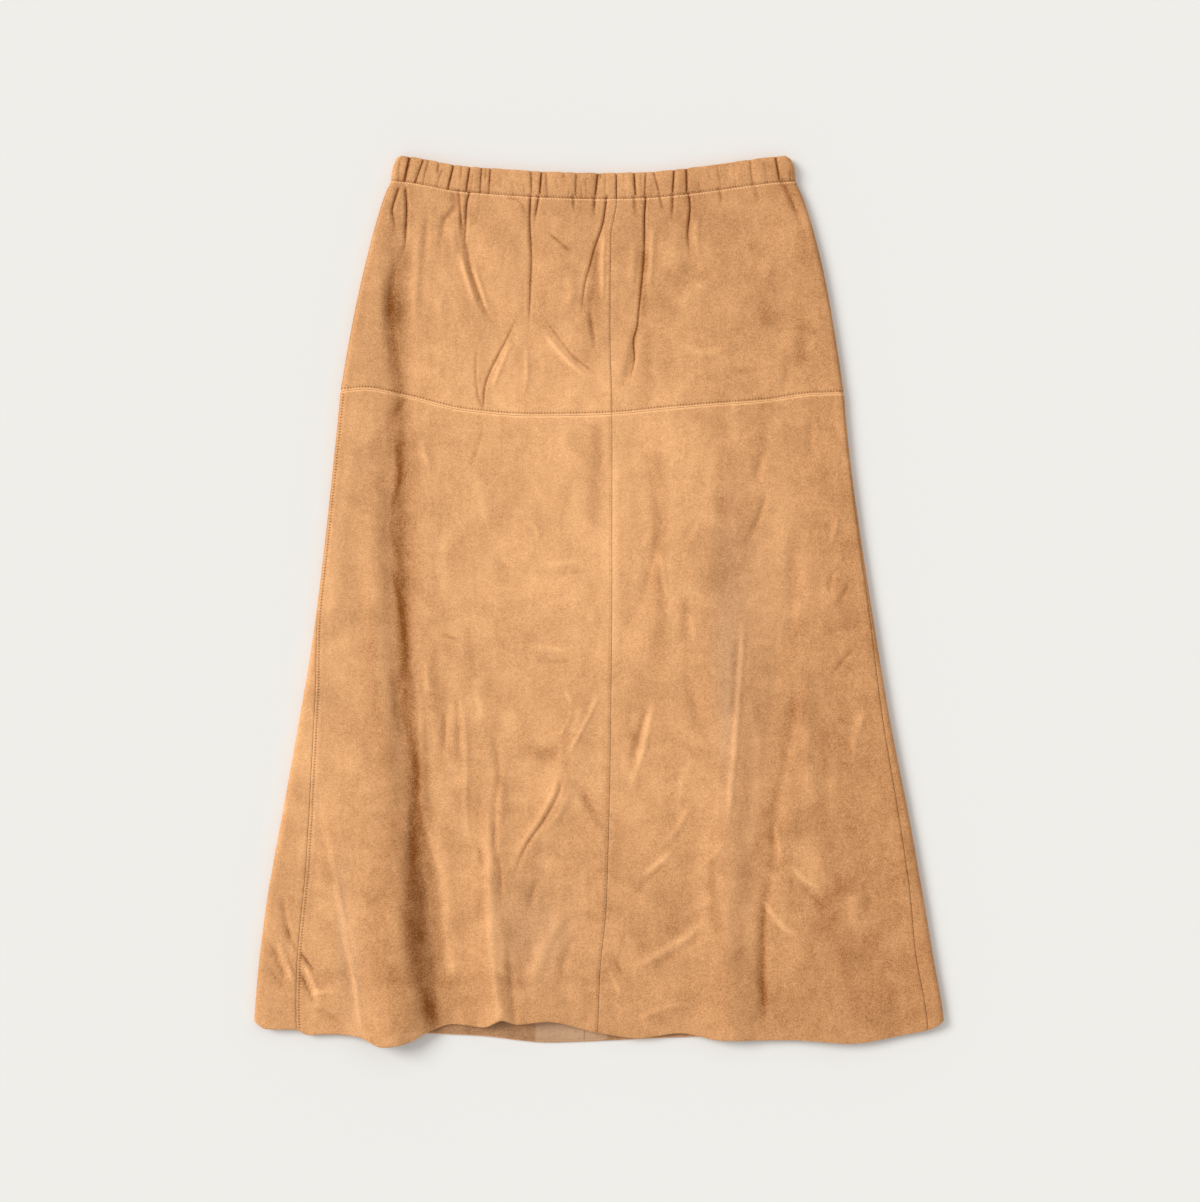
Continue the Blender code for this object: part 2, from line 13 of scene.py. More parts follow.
import bpy
import numpy as np
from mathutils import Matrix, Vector


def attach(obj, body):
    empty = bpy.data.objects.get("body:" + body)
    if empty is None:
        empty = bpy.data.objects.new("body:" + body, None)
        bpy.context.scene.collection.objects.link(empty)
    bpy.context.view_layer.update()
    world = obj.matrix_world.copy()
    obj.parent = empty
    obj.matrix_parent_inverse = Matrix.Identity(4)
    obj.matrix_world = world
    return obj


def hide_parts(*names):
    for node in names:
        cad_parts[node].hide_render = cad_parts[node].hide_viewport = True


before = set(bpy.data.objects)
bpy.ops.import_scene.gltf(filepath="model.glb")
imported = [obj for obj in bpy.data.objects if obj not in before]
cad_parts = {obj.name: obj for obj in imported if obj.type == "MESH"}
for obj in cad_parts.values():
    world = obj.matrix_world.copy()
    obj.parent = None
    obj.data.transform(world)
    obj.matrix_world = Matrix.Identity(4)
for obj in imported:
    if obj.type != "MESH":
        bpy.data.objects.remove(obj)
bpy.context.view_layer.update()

bl_info = {
    "name": "Suede skirt",
    "version": (1, 0, 0),
    "blender": (4, 5, 0),
    "location": "View3D > Sidebar > Skirt",
    "description": "Makes a suede a-line skirt with its creases, gathers and seams",
    "category": "Object",
}

METRES = 0.001
BODY = "root"

# ---------------------------------------------------------------------------------------------------------------
# The tube that the pieces follow, the same as the solids'.

WALL = 1.2  # suede
SEAM_GAP = 0.3  # between two pieces at each seam
EDGE_RADIUS = 3.9  # of the fold at each side, to the middle of the wall
BAND_HEIGHT = 23.0  # the casing round the waist
ELASTIC_THICKNESS = 1.2
HEM_DEPTH = 30.0  # suede turned up inside the hem
HEM_TURN_RADIUS = 0.75
REST_HEIGHT = 5.2  # middle of the front wall where the front lies slack over the back
LEAST_HEIGHT = 2.9  # the same at its lowest
LEAST_HEIGHT_AT_HEM = 5.6
SIDE_FALL = 46.0  # over which the front comes down from the fold at a side
BAND_FALL = 52.0  # over which the front comes down from the casing

HALF_WALL = WALL / 2
HALF_GAP = SEAM_GAP / 2
MID_HEIGHT = HALF_WALL + EDGE_RADIUS
TOP_HEIGHT = MID_HEIGHT + EDGE_RADIUS
QUARTER = math.pi * EDGE_RADIUS / 2
CASING_STEP = HALF_WALL + SEAM_GAP + ELASTIC_THICKNESS / 2
BAND_TURN = CASING_STEP + HALF_WALL
HEM_TURN = HEM_TURN_RADIUS + HALF_WALL

# The outline seen from above: (height, left side, right side).
OUTLINE = (
    (399.5, -181, 170.5), (394, -184, 174.4), (388, -186, 176.2), (375, -187.8, 177.4), (370, -190.6, 180),
    (352, -197, 187), (298, -211.5, 201.5), (244, -223, 211.5), (190, -232, 219.5), (135, -237.8, 225),
    (54, -246.5, 235.8), (-27, -256.5, 248.4), (-108, -270, 262), (-189, -284.5, 278), (-270, -299, 292.5),
    (-324, -306, 301.5), (-364, -309.6, 308.7), (-378, -310.5, 310.5),
)

# How far the back panels come round each side fold on to the front: (height, at the left, at the right).
WRAPS = (
    (400, 2, 2), (100, 2, 3), (0, 2.5, 4.2), (-90, 13, 7.6), (-158, 21.5, 9.8), (-206, 27.5, 11.2), (-255, 33, 12.8),
    (-325, 36, 17.2), (-384, 40, 16.8),
)

# The lines that run across the skirt, from left to right: (across, height).
WAIST_EDGE = (
    (-187, 400.4), (-172, 399), (-157, 396.6), (-129, 391.2), (-100, 388.6), (-42, 385), (0, 384), (44, 385),
    (73, 387.6), (102, 391.2), (145, 397.2), (160, 398.9), (177, 399.8),
)
FRONT_YOKE_SEAM = (
    (-232, 188), (-210, 190), (-180, 185), (-118, 170.5), (-60, 166), (0, 167), (73, 173.5), (150, 179.5), (190, 185),
    (221, 186),
)
BACK_YOKE_SEAM = ((-232, 188), (0, 182), (221, 186))
FRONT_HEM = (
    (-311, -378.5), (-300, -385.5), (-272, -386.5), (-262, -391), (-240, -390.4), (-216, -392.5), (-194, -400.4),
    (-172, -397.5), (-150, -386.5), (-132, -381.5), (-104, -384), (-87, -377), (-72, -381), (-48, -378.6), (0, -389.5),
    (36, -394), (73, -389.5), (110, -395.6), (178, -395.8), (225, -398.4), (277, -390.4), (300, -385.2), (311, -378.5),
)
BACK_HEM = (
    (-311, -378.5), (-296, -384.5), (-250, -387), (-157, -390.2), (-110, -392.2), (-46, -398.4), (10, -396.5),
    (83, -393.4), (200, -391), (296, -384), (311, -378.5),
)

# The seams that run down the middle, from the waist to the hem: (height, across).
CENTRE_FRONT = (
    (400, 15.5), (360, 15.8), (328, 10.8), (243, 9.9), (168, 11.7), (36, 11.7), (-90, 10.8), (-270, 6.8), (-341, 0.5),
    (-400, -1.4),
)
CENTRE_BACK = ((200, -4), (-100, -8), (-400, -13.5))

# The largest folds of the front. Each is a line of points, with how far the suede rises there (or sinks, below
# zero) and half the fold's width.
Fold = namedtuple("Fold", "across height rise half_width")
FOLDS = {
    "roll down the left side": (
        (-211, -90, 1, 30), (-204, -180, 5, 32), (-199, -270, 9, 32), (-190, -360, 13, 28), (-189, -401, 15, 26),
    ),
    "hollow beside the roll": (
        (-181, 160, -2, 15), (-186, 36, -3, 15), (-168, -126, -3.5, 15), (-152, -297, -3, 15), (-142, -387, -2, 15),
    ),
    "ridge to the lifted hem": ((-99, -176, 2, 16), (-96, -277, 6, 16), (-88, -378, 9, 16)),
    "crease across the left panel": ((-18, -106, 2, 12), (-36, -176, 4, 13), (-74, -247, 3, 13)),
    "lift beside the middle seam": ((-50, -290, 1, 24), (-52, -378, 6, 28)),
    "hollow right of the middle": ((33, 150, -1.5, 14), (50, 77, -3, 14), (24, -31, -2, 14)),
    "ridge down the right panel": ((140, 120, 1, 22), (128, -45, 4, 20), (115, -217, 4.5, 20), (120, -396, 6, 22)),
    "hollow down the right panel": (
        (166, -35, -2, 14), (154, -180, -3.5, 14), (136, -294, -3, 14), (141, -357, -1, 14),
    ),
    "lift of the right hem": ((205, -250, 1, 40), (215, -398, 5, 42)),
    "left hollow of the yoke": ((-186, 350, -3, 13), (-186, 297, -4, 13), (-176, 190, -3, 15)),
    "slanting hollow of the yoke": ((-121, 340, -2.5, 11), (-91, 239, -2.5, 11)),
    "hollow left of the middle": ((-62, 345, -2.5, 10), (-62, 230, -1.5, 10)),
    "pleat beside the middle seam": ((3, 350, -3, 10), (-9, 270, -2, 12)),
    "crease right of the middle": ((41, 350, -3.5, 10), (33, 244, -2, 11)),
    "crease of the right yoke": ((81, 350, -2.5, 10), (82, 300, -1.5, 10)),
}

# ---------------------------------------------------------------------------------------------------------------
# What is laid on the tube.

# A crease is a soft ridge, or a trough where its rise is below zero, along a line of (across, height) points. It
# fades in and out over those shares of its length. Its ridge is painted paler and its trough darker: partly rubbed
# nap, partly painted highlight and painted shade.
Crease = namedtuple("Crease", "rise half_width line fade_in fade_out", defaults=(0.3, 0.4))
CREASE_DEPTH = 1.5  # of every crease's own

YOKE_CREASES = (
    # From the gathers near the left side.
    (-1.5, 2.2, ((-180, 372), (-184, 359), (-186, 350), (-184, 339), (-183, 325)), 0.05, 0.6),
    (-1.6, 2.2, ((-174, 372), (-173, 352), (-174, 333), (-175, 318), (-181, 306)), 0.05, 0.5),
    (-1.4, 6, ((-176, 322), (-185, 296), (-189, 262), (-183, 215), (-174, 178)), 0.3, 0.3),
    (0.8, 5, ((-165, 340), (-164, 300), (-166, 262), (-160, 215)), 0.3, 0.5),
    (-0.8, 4, ((-155, 352), (-157, 320), (-158, 296)), 0.3, 0.5),
    (-1.1, 4, ((-133, 370), (-129, 355), (-139, 342), (-142, 325), (-145, 302)), 0.1, 0.6),
    (0.7, 6, ((-146, 285), (-142, 255), (-143, 222)), 0.4),
    # The long slanting crease, between two ridges.
    (-1.6, 2, ((-116, 368), (-119, 356), (-120, 337), (-121, 322), (-119, 310)), 0.03),
    (-1.7, 3.2, ((-120, 326), (-118, 306), (-113, 288), (-105, 266), (-91, 239)), 0.15, 0.5),
    (-1.1, 2, ((-126, 370), (-125, 354), (-123, 338), (-120, 322)), 0.03),
    (1.1, 3.2, ((-127, 318), (-121, 297), (-114, 275), (-104, 250)), 0.3, 0.5),
    (1, 3, ((-116, 307), (-108, 286), (-101, 264), (-93, 246)), 0.3, 0.5),
    (-0.9, 2, ((-125, 347), (-124, 331), (-121, 318)), 0.2, 0.5),
    (0.7, 5, ((-133, 341), (-131, 320), (-128, 306))),
    # The two that meet in a point on the yoke's seam.
    (-1, 1.7, ((-72, 258), (-85, 232), (-98, 206), (-103, 190), (-104, 170)), 0.3, 0.1),
    (-0.6, 1.7, ((-110, 232), (-111, 205), (-109, 186), (-104, 170)), 0.4, 0.1),
    (0.7, 3, ((-78, 236), (-88, 212), (-97, 190)), 0.3, 0.2),
    # The thin straight one.
    (-1.5, 1.9, ((-61, 370), (-62, 352), (-62, 333), (-61, 306), (-62, 282), (-63, 238)), 0.03, 0.3),
    (-1.3, 1.8, ((-52, 372), (-54, 364), (-56, 352), (-58, 337)), 0.03, 0.5),
    (-0.7, 2.5, ((-84, 362), (-73, 360), (-67, 352), (-64, 338)), 0.2),
    (0.7, 3, ((-66, 230), (-65, 205), (-68, 180))),
    (-0.9, 2, ((-48, 333), (-36, 323), (-22, 311))),
    (-0.8, 2, ((-50, 252), (-42, 244), (-32, 231), (-22, 219), (-8, 208), (5, 199)), 0.2, 0.3),
    (-1.1, 3, ((-9, 264), (-6, 243), (-2, 222)), 0.2, 0.5),
    (1.3, 3.4, ((-52, 244), (-36, 224), (-20, 208), (-4, 196))),
    (0.9, 6, ((-30, 291), (-24, 278), (-32, 262))),
    # Short ones under the casing.
    (-1, 2, ((-23, 369), (-23, 358), (-22, 347)), 0.03, 0.6),
    (-1.3, 2.1, ((-2, 369), (-4, 358), (-4, 342)), 0.03, 0.6),
    (-0.8, 2.5, ((31, 369), (33, 350), (36, 341)), 0.03, 0.6),
    (-0.9, 2, ((53, 369), (56, 358), (58, 348)), 0.03, 0.6),
    (-1.1, 2.1, ((67, 370), (66, 350), (65, 339)), 0.03, 0.6),
    (-0.7, 3, ((139, 378), (142, 366), (145, 352)), 0.03, 0.6),
    (-0.8, 2.5, ((107, 373), (110, 362), (108, 350)), 0.03, 0.6),
    # The pleat beside the middle seam.
    (-1.5, 1.8, ((8, 368), (6, 355), (4, 341), (0, 328), (-4, 318), (-9, 300), (-13, 284), (-16, 256)), 0.03, 0.25),
    (-0.9, 5, ((1, 336), (-3, 312), (-5, 290), (-7, 268), (-5, 246))),
    (1, 3, ((5, 334), (3, 310), (3, 288), (3, 262))),
    # The deep one to the right of it.
    (-1.9, 1.75, ((43, 372), (42, 359), (41, 344), (41, 326), (40, 304), (38, 282), (36, 264), (34, 246), (31, 234),
        (32, 219), (30, 206), (27, 190)), 0.03, 0.2),
    (-1.2, 5, ((38, 262), (32, 236), (28, 212), (20, 188)), 0.4, 0.3),
    (0.9, 4, ((48, 340), (47, 312), (45, 286), (42, 262)), 0.2),
    (0.7, 5, ((32, 330), (30, 300), (26, 270))),
    # The yoke's right half.
    (-1.5, 1.9, ((79, 374), (82, 356), (81, 342), (80, 332), (81, 317), (83, 304)), 0.03, 0.6),
    (0.8, 4, ((88, 346), (87, 326), (89, 306)), 0.2, 0.5),
    (0.7, 8, ((116, 296), (102, 288), (85, 278), (66, 264))),
    (-0.8, 6, ((172, 226), (169, 205), (165, 184)), 0.3, 0.3),
    (-1.1, 3.4, ((164, 380), (172, 362), (181, 340), (187, 322)), 0.05, 0.6),
    (0.7, 9, ((150, 330), (152, 290), (160, 250)), 0.4),
    (0.6, 5, ((70, 230), (96, 222), (120, 228)), 0.4),
    (-0.6, 4, ((108, 214), (130, 206), (152, 208)), 0.4),
)

LOWER_LEFT_CREASES = (
    # The roll's steep flank, with the hollow beside it.
    (4.2, 21, ((-184, -180), (-180, -225), (-177, -265), (-174, -310), (-169, -350), (-164, -396)), 0.5, 0.05),
    (-2, 10, ((-160, -170), (-154, -225), (-148, -270), (-144, -315), (-138, -350), (-134, -392)), 0.2, 0.1),
    (-2, 9, ((-179, 184), (-181, 125), (-182, 80), (-181, 36), (-178, -20), (-175, -83), (-169, -150)), 0.15, 0.3),
    (1.6, 12, ((-201, 120), (-203, 60), (-201, 0), (-198, -60), (-191, -140), (-186, -210)), 0.2, 0.3),
    # Beside it.
    (-1.3, 5, ((-177, 190), (-178, 178), (-186, 162), (-181, 125), (-180, 108), (-187, 81), (-186, 40)), 0.1, 0.2),
    (-1.3, 5, ((-189, 45), (-187, 28), (-179, -3), (-174, -40), (-171, -77)), 0.2, 0.3),
    (-1.1, 6, ((-178, -92), (-168, -135), (-165, -160), (-168, -202), (-168, -262)), 0.2, 0.2),
    (1, 5, ((-163, -50), (-160, -125), (-157, -190), (-146, -234), (-138, -270)), 0.3, 0.3),
    (0.8, 4, ((-161, 146), (-156, 130), (-151, 112))),
    (0.8, 3, ((-156, -50), (-155, -70), (-154, -92)), 0.3, 0.3),
    (-0.7, 1.8, ((-143, -31), (-132, -34), (-121, -38))),
    # Between the roll and the ridge to the lifted hem.
    (-0.9, 3, ((-139, -98), (-139, -118), (-139, -138))),
    (0.7, 3.2, ((-124, -74), (-121, -112), (-120, -151), (-119, -198), (-108, -240))),
    (-0.8, 3, ((-129, -80), (-127, -115), (-127, -150)), 0.2),
    (-0.8, 3.4, ((-98, -112), (-92, -140), (-90, -158), (-94, -184), (-94, -216)), 0.3, 0.3),
    (-1, 3.2, ((-94, -190), (-94, -222), (-89, -244), (-88, -292)), 0.2),
    (1.2, 5.4, ((-101, -180), (-100, -214), (-99, -256), (-97, -310), (-92, -353), (-87, -380)), 0.35, 0.05),
    (-0.8, 3, ((-108, -220), (-106, -232), (-104, -244))),
    (-1, 5, ((-82, -300), (-80, -340), (-76, -384)), 0.3, 0.1),
    # The long slanting crease.
    (0.8, 2, ((2, -80), (-8, -101), (-18, -120), (-33, -148)), 0.2, 0.3),
    (-1, 2.3, ((-32, -154), (-37, -174), (-50, -198), (-64, -218), (-74, -240), (-80, -262)), 0.15),
    (0.8, 3.2, ((-38, -152), (-42, -174), (-55, -198), (-69, -219), (-79, -242)), 0.2),
    (0.7, 4, ((-26, -172), (-38, -194), (-54, -214))),
    (0.7, 2.6, ((-30, -80), (-27, -87), (-23, -95))),
    (0.5, 2.4, ((-24, -98), (-30, -112), (-40, -128)), 0.2),
    # Soft ones between it and the middle seam.
    (1.2, 9, ((-26, -272), (-44, -302), (-56, -328), (-66, -350)), 0.3, 0.2),
    (-0.9, 6, ((-14, -292), (-30, -318), (-36, -344)), 0.3, 0.3),
    (-0.9, 5, ((-21, -160), (-12, -180), (0, -198))),
    (-0.8, 4, ((-52, -246), (-60, -262), (-62, -282))),
    # Light ones higher up.
    (0.7, 3, ((-70, 72), (-57, 65), (-54, 48))),
    (0.6, 4, ((-48, 30), (-30, 34), (-10, 34))),
    (-0.6, 4, ((-44, 22), (-24, 25), (-6, 24))),
    (0.7, 4, ((-66, -40), (-47, -44), (-16, -46))),
    (-0.6, 4, ((-60, -52), (-40, -55), (-14, -56))),
    (-0.7, 8, ((-90, 44), (-88, 30), (-84, 18)), 0.4),
    (-0.5, 3, ((-104, 164), (-108, 140), (-120, 112)), 0.3, 0.5),
    # On the roll and the strip beside it.
    (-1, 7, ((-262, -160), (-248, -215), (-232, -270), (-226, -330), (-214, -388)), 0.3, 0.2),
    (1, 3.4, ((-250, -190), (-238, -243), (-229, -297), (-220, -342), (-213, -391)), 0.3, 0.1),
    (0.6, 3, ((-236, -258), (-227, -290), (-216, -314))),
    (-1, 2.4, ((-282, -292), (-276, -306), (-270, -320)), 0.2, 0.3),
    (1.4, 2.6, ((-289, -306), (-281, -326), (-273, -347)), 0.2, 0.3),
    (-0.9, 2.6, ((-295, -308), (-288, -328), (-280, -350)), 0.2, 0.3),
    (-1.4, 2.2, ((-269, -316), (-262, -326), (-255, -335)), 0.2, 0.3),
    (1.3, 2.5, ((-265, -327), (-258, -342), (-250, -360)), 0.2, 0.3),
    (-1.2, 2.4, ((-269, -334), (-262, -350), (-255, -366)), 0.2, 0.3),
    (-1.1, 3.4, ((-286, -262), (-282, -290), (-276, -316)), 0.3, 0.3),
    (-0.9, 3, ((-298, -330), (-290, -340), (-281, -352)), 0.3, 0.3),
    (0.8, 3, ((-262, -356), (-246, -352), (-232, -354)), 0.3, 0.3),
    (-0.8, 4, ((-256, -366), (-244, -372), (-232, -380)), 0.3, 0.3),
)

LOWER_RIGHT_CREASES = (
    (-1.2, 6, ((33, 152), (42, 129), (51, 77), (49, 48), (44, 26), (38, 5), (23, -31)), 0.2, 0.3),
    (0.7, 3, ((56, 45), (60, 12), (62, -7))),
    (0.6, 3, ((82, -12), (85, -24), (87, -38))),
    (-0.7, 5, ((88, 76), (81, 62), (74, 48))),
    (-1.1, 6, ((148, 138), (144, 122), (139, 106)), 0.3, 0.3),
    (-0.8, 4, ((152, 104), (146, 82), (131, 46))),
    (-0.8, 5, ((189, 164), (190, 144), (190, 122)), 0.2),
    (-0.8, 8, ((176, 84), (175, 26), (169, -62))),
    # Near the right side.
    (0.7, 3, ((215, 78), (212, 64), (208, 48))),
    (-0.7, 3, ((210, 28), (208, 14), (207, 2))),
    (-0.8, 3, ((230, -42), (219, -55), (207, -69))),
    (-0.7, 3, ((226, 20), (220, 6), (212, -8))),
    (-0.9, 6, ((238, -252), (242, -268), (245, -286))),
    (0.7, 8, ((226, -262), (229, -280), (230, -300))),
    (0.7, 4, ((240, -96), (232, -120), (228, -150))),
    # The long ridge and the streak beside it.
    (0.8, 3.6, ((131, -5), (128, -42), (125, -84), (120, -152), (114, -216)), 0.2, 0.2),
    (0.6, 3.6, ((114, -214), (104, -228), (87, -243)), 0.2),
    (-1.2, 7, ((178, -60), (174, -100), (168, -135), (157, -180), (155, -215), (155, -262)), 0.2, 0.2),
    (-1.4, 5.5, ((156, -240), (149, -272), (147, -300), (147, -352), (149, -388)), 0.2, 0.2),
    (0.5, 2.6, ((172, -237), (184, -250), (199, -261)), 0.2),
    (-0.6, 3, ((180, -255), (194, -268), (206, -280))),
    (0.5, 2.4, ((146, -268), (156, -282), (166, -294), (184, -307)), 0.15),
    (0.8, 3, ((158, -196), (162, -220), (166, -238))),
    # Slanting ones between the ridge and the middle seam.
    (0.7, 3.6, ((51, -85), (44, -112), (39, -136), (26, -176)), 0.2),
    (-0.9, 4, ((43, -95), (35, -124), (27, -152)), 0.2),
    (0.5, 3.6, ((68, -224), (52, -238), (34, -252)), 0.2),
    (-0.4, 4, ((62, -236), (46, -250), (30, -266)), 0.2),
    (0.8, 4, ((84, -180), (70, -206), (56, -222))),
    (0.55, 5, ((101, -284), (79, -302), (50, -320), (20, -336)), 0.2),
    (-0.4, 5, ((96, -298), (72, -316), (46, -332)), 0.2),
    (0.4, 4, ((112, -262), (90, -276), (62, -290))),
    (-0.7, 2.2, ((13, -322), (18, -331), (24, -339))),
    (0.7, 2.4, ((8, -330), (16, -346), (20, -362))),
    (0.6, 4, ((30, -380), (60, -366), (92, -362))),
    (-0.8, 8, ((76, -60), (84, -90), (92, -120)), 0.3, 0.3),
    (0.6, 7, ((190, -90), (186, -140), (196, -190)), 0.4),
    (-0.6, 7, ((206, -110), (204, -160), (212, -210)), 0.4),
)

FRONT_CREASES = YOKE_CREASES + LOWER_LEFT_CREASES + LOWER_RIGHT_CREASES

# The back's creases are as uneven. Its outer face lies on the surface, so each one only lifts it from there.
BACK_CREASES = (
    (0.8, 3, ((-150, 372), (-154, 352), (-152, 325), (-158, 300)), 0.05, 0.6),
    (0.7, 2.6, ((-96, 366), (-94, 346), (-97, 322)), 0.05, 0.6),
    (0.8, 2.8, ((-44, 362), (-41, 338), (-45, 300), (-43, 268)), 0.05, 0.5),
    (0.7, 2.6, ((22, 362), (25, 340), (22, 322)), 0.05, 0.6),
    (0.8, 3, ((70, 364), (73, 338), (69, 310), (74, 282)), 0.05, 0.5),
    (0.7, 2.8, ((128, 370), (124, 348), (127, 330)), 0.05, 0.6),
    (0.8, 4.5, ((-120, 290), (-104, 262), (-88, 232))),
    (0.7, 4, ((110, 262), (96, 236), (88, 208))),
    (0.8, 6, ((-170, 150), (-176, 70), (-168, -10), (-174, -90))),
    (0.9, 5, ((-90, 60), (-98, -40), (-88, -130), (-96, -240))),
    (0.8, 5, ((60, 130), (72, 50), (64, -40), (76, -120))),
    (0.9, 6, ((150, 20), (160, -90), (150, -200), (164, -310)), 0.3, 0.3),
    (0.8, 4, ((-20, -90), (-44, -130), (-64, -190), (-74, -250))),
    (0.7, 4, ((110, -210), (84, -244), (40, -270))),
    (0.8, 5, ((220, -120), (226, -200), (238, -290)), 0.3, 0.3),
    (0.8, 5, ((-230, -140), (-240, -220), (-236, -310)), 0.3, 0.3),
)

# Where the elastic draws the casing in: a gather's place at the casing's top edge and at its seam, how deep it is,
# half its width, and the shares of the casing's height, down from its top, between which it runs.
Gather = namedtuple("Gather", "top bottom depth half_width starts ends", defaults=(0.0, 1.0))
FRONT_GATHERS = (
    (-178.5, -180.5, 0.5, 2), (-170, -175, 1.2, 1.9), (-157.5, -165.5, 0.85, 1.8), (-153, -158.5, 0.55, 1.5),
    (-144, -146, 0.65, 1.5, 0, 0.55), (-138.5, -146.5, 0.5, 1.9, 0.2), (-130.5, -136, 1, 1.6),
    (-123.5, -124, 0.55, 1.4, 0, 0.6), (-116, -119.5, 1, 1.6), (-112.5, -115, 0.35, 1.3, 0.2),
    (-105.5, -107, 0.75, 1.5), (-101.5, -102.5, 0.5, 1.4, 0, 0.6), (-97.5, -99, 0.75, 1.5),
    (-87.5, -88.5, 0.3, 2.2, 0.1, 0.9), (-78, -77, 0.3, 2.4, 0.3), (-68, -67, 0.4, 2, 0.45), (-61, -60.5, 0.75, 1.5),
    (-51.5, -53.5, 1, 1.6), (-47.5, -46.5, 0.6, 1.4), (-38, -37, 0.3, 2.2, 0.1, 0.8),
    (-31.5, -31.5, 0.5, 1.4, 0, 0.35), (-27.5, -27.5, 0.4, 1.6, 0.6), (-20.5, -21, 0.75, 1.5),
    (-16, -15.5, 0.45, 1.4, 0.5), (-11.5, -11.5, 0.35, 1.8, 0.1), (-1, -3.5, 1, 1.6), (1.5, 1.5, 0.5, 1.2, 0, 0.35),
    (6, 5.5, 0.4, 1.4), (22.5, 23.5, 0.4, 1.8), (31.5, 33, 1, 1.6), (38, 38.5, 0.4, 1.7), (42, 41, 0.75, 1.5),
    (49, 55, 0.7, 1.6), (67.5, 66, 1, 1.6), (78.5, 79, 1, 1.6), (89, 91, 0.4, 1.9, 0.5), (98, 99, 0.25, 2.4, 0, 0.8),
    (106, 110, 0.45, 1.9), (121, 123, 0.25, 2.6), (135.5, 138, 0.65, 1.6), (148, 151, 0.3, 2.4, 0.1),
    (158.5, 162.5, 0.9, 1.7), (171.5, 172, 0.5, 1.7, 0.45),
)
BACK_GATHERS = (
    (-165, -163, 0.9, 1.8), (-150, -151, 0.7, 1.6), (-141, -139, 0.5, 1.6, 0, 0.6), (-128, -130, 1, 1.7),
    (-112, -111, 0.6, 1.8, 0.2), (-97, -96, 1, 1.6), (-88, -90, 0.6, 1.5), (-72, -71, 0.8, 1.8),
    (-58, -60, 0.5, 1.6, 0.4), (-45, -44, 1, 1.6), (-33, -33, 0.6, 1.6, 0, 0.7), (-19, -21, 0.8, 1.8),
    (-4, -3, 0.6, 1.7), (9, 8, 0.9, 1.6), (22, 24, 1, 1.7), (37, 36, 0.5, 1.8, 0.1, 0.8), (51, 53, 0.8, 1.6),
    (70, 69, 1, 1.6), (81, 82, 0.6, 1.6), (97, 95, 0.8, 1.8), (113, 114, 0.5, 1.6, 0.3), (127, 126, 1, 1.7),
    (141, 143, 0.7, 1.6), (156, 155, 0.9, 1.7),
)
CASING_TONE = 0.05  # beside the yoke's
GATHER_SHADE = -2.2  # painted shade down in a gather: how dark the suede is painted there
BULGE_HEIGHT = 2.6  # of the casing's suede between two gathers
GATHER_CUT = 0.65  # how deep the back's gathers are pressed into its wall
GATHER_REACH = 8.0  # how far a gather runs on below the casing

# The suede's own unevenness: how high its hills are, how large, how much they are drawn out down the skirt, and the
# seed of their places.
Slack = namedtuple("Slack", "rise size drawn_out seed")
SLACKNESS = (Slack(0.75, 62, 1, 3), Slack(0.45, 27, 0.7, 5), Slack(0.36, 16, 0.36, 8), Slack(0.16, 8, 0.5, 13))

# Large soft patches painted paler (above zero) or darker: partly brushed nap, and partly painted shade, such as the
# dark hollow beside the roll and the shaded flank of the roll.
Patch = namedtuple("Patch", "across height half_across half_height tone")
PATCHES = (
    (-60, 60, 150, 210, 0.16), (-70, 320, 110, 120, 0.05), (240, -260, 90, 320, -0.22), (110, -330, 160, 120, -0.06),
    (120, 20, 24, 90, -0.16), (116, -80, 10, 32, -0.14), (-185, 40, 22, 240, -0.2), (-158, -280, 15, 60, -0.2),
    (-60, 190, 120, 60, 0.2), (40, 90, 70, 110, 0.3), (110, 50, 20, 90, -0.2), (160, 60, 30, 120, 0.25),
    (-30, -20, 60, 100, 0.12), (-270, -100, 40, 160, 0.22), (-60, -170, 90, 40, 0.2), (60, -170, 60, 40, 0.12),
    (105, -270, 20, 80, 0.2), (-35, -320, 40, 60, 0.15), (-200, -290, 20, 80, -0.15), (30, 300, 60, 70, -0.06),
    (160, 320, 60, 100, -0.08), (-60, -320, 120, 90, -0.06),
)
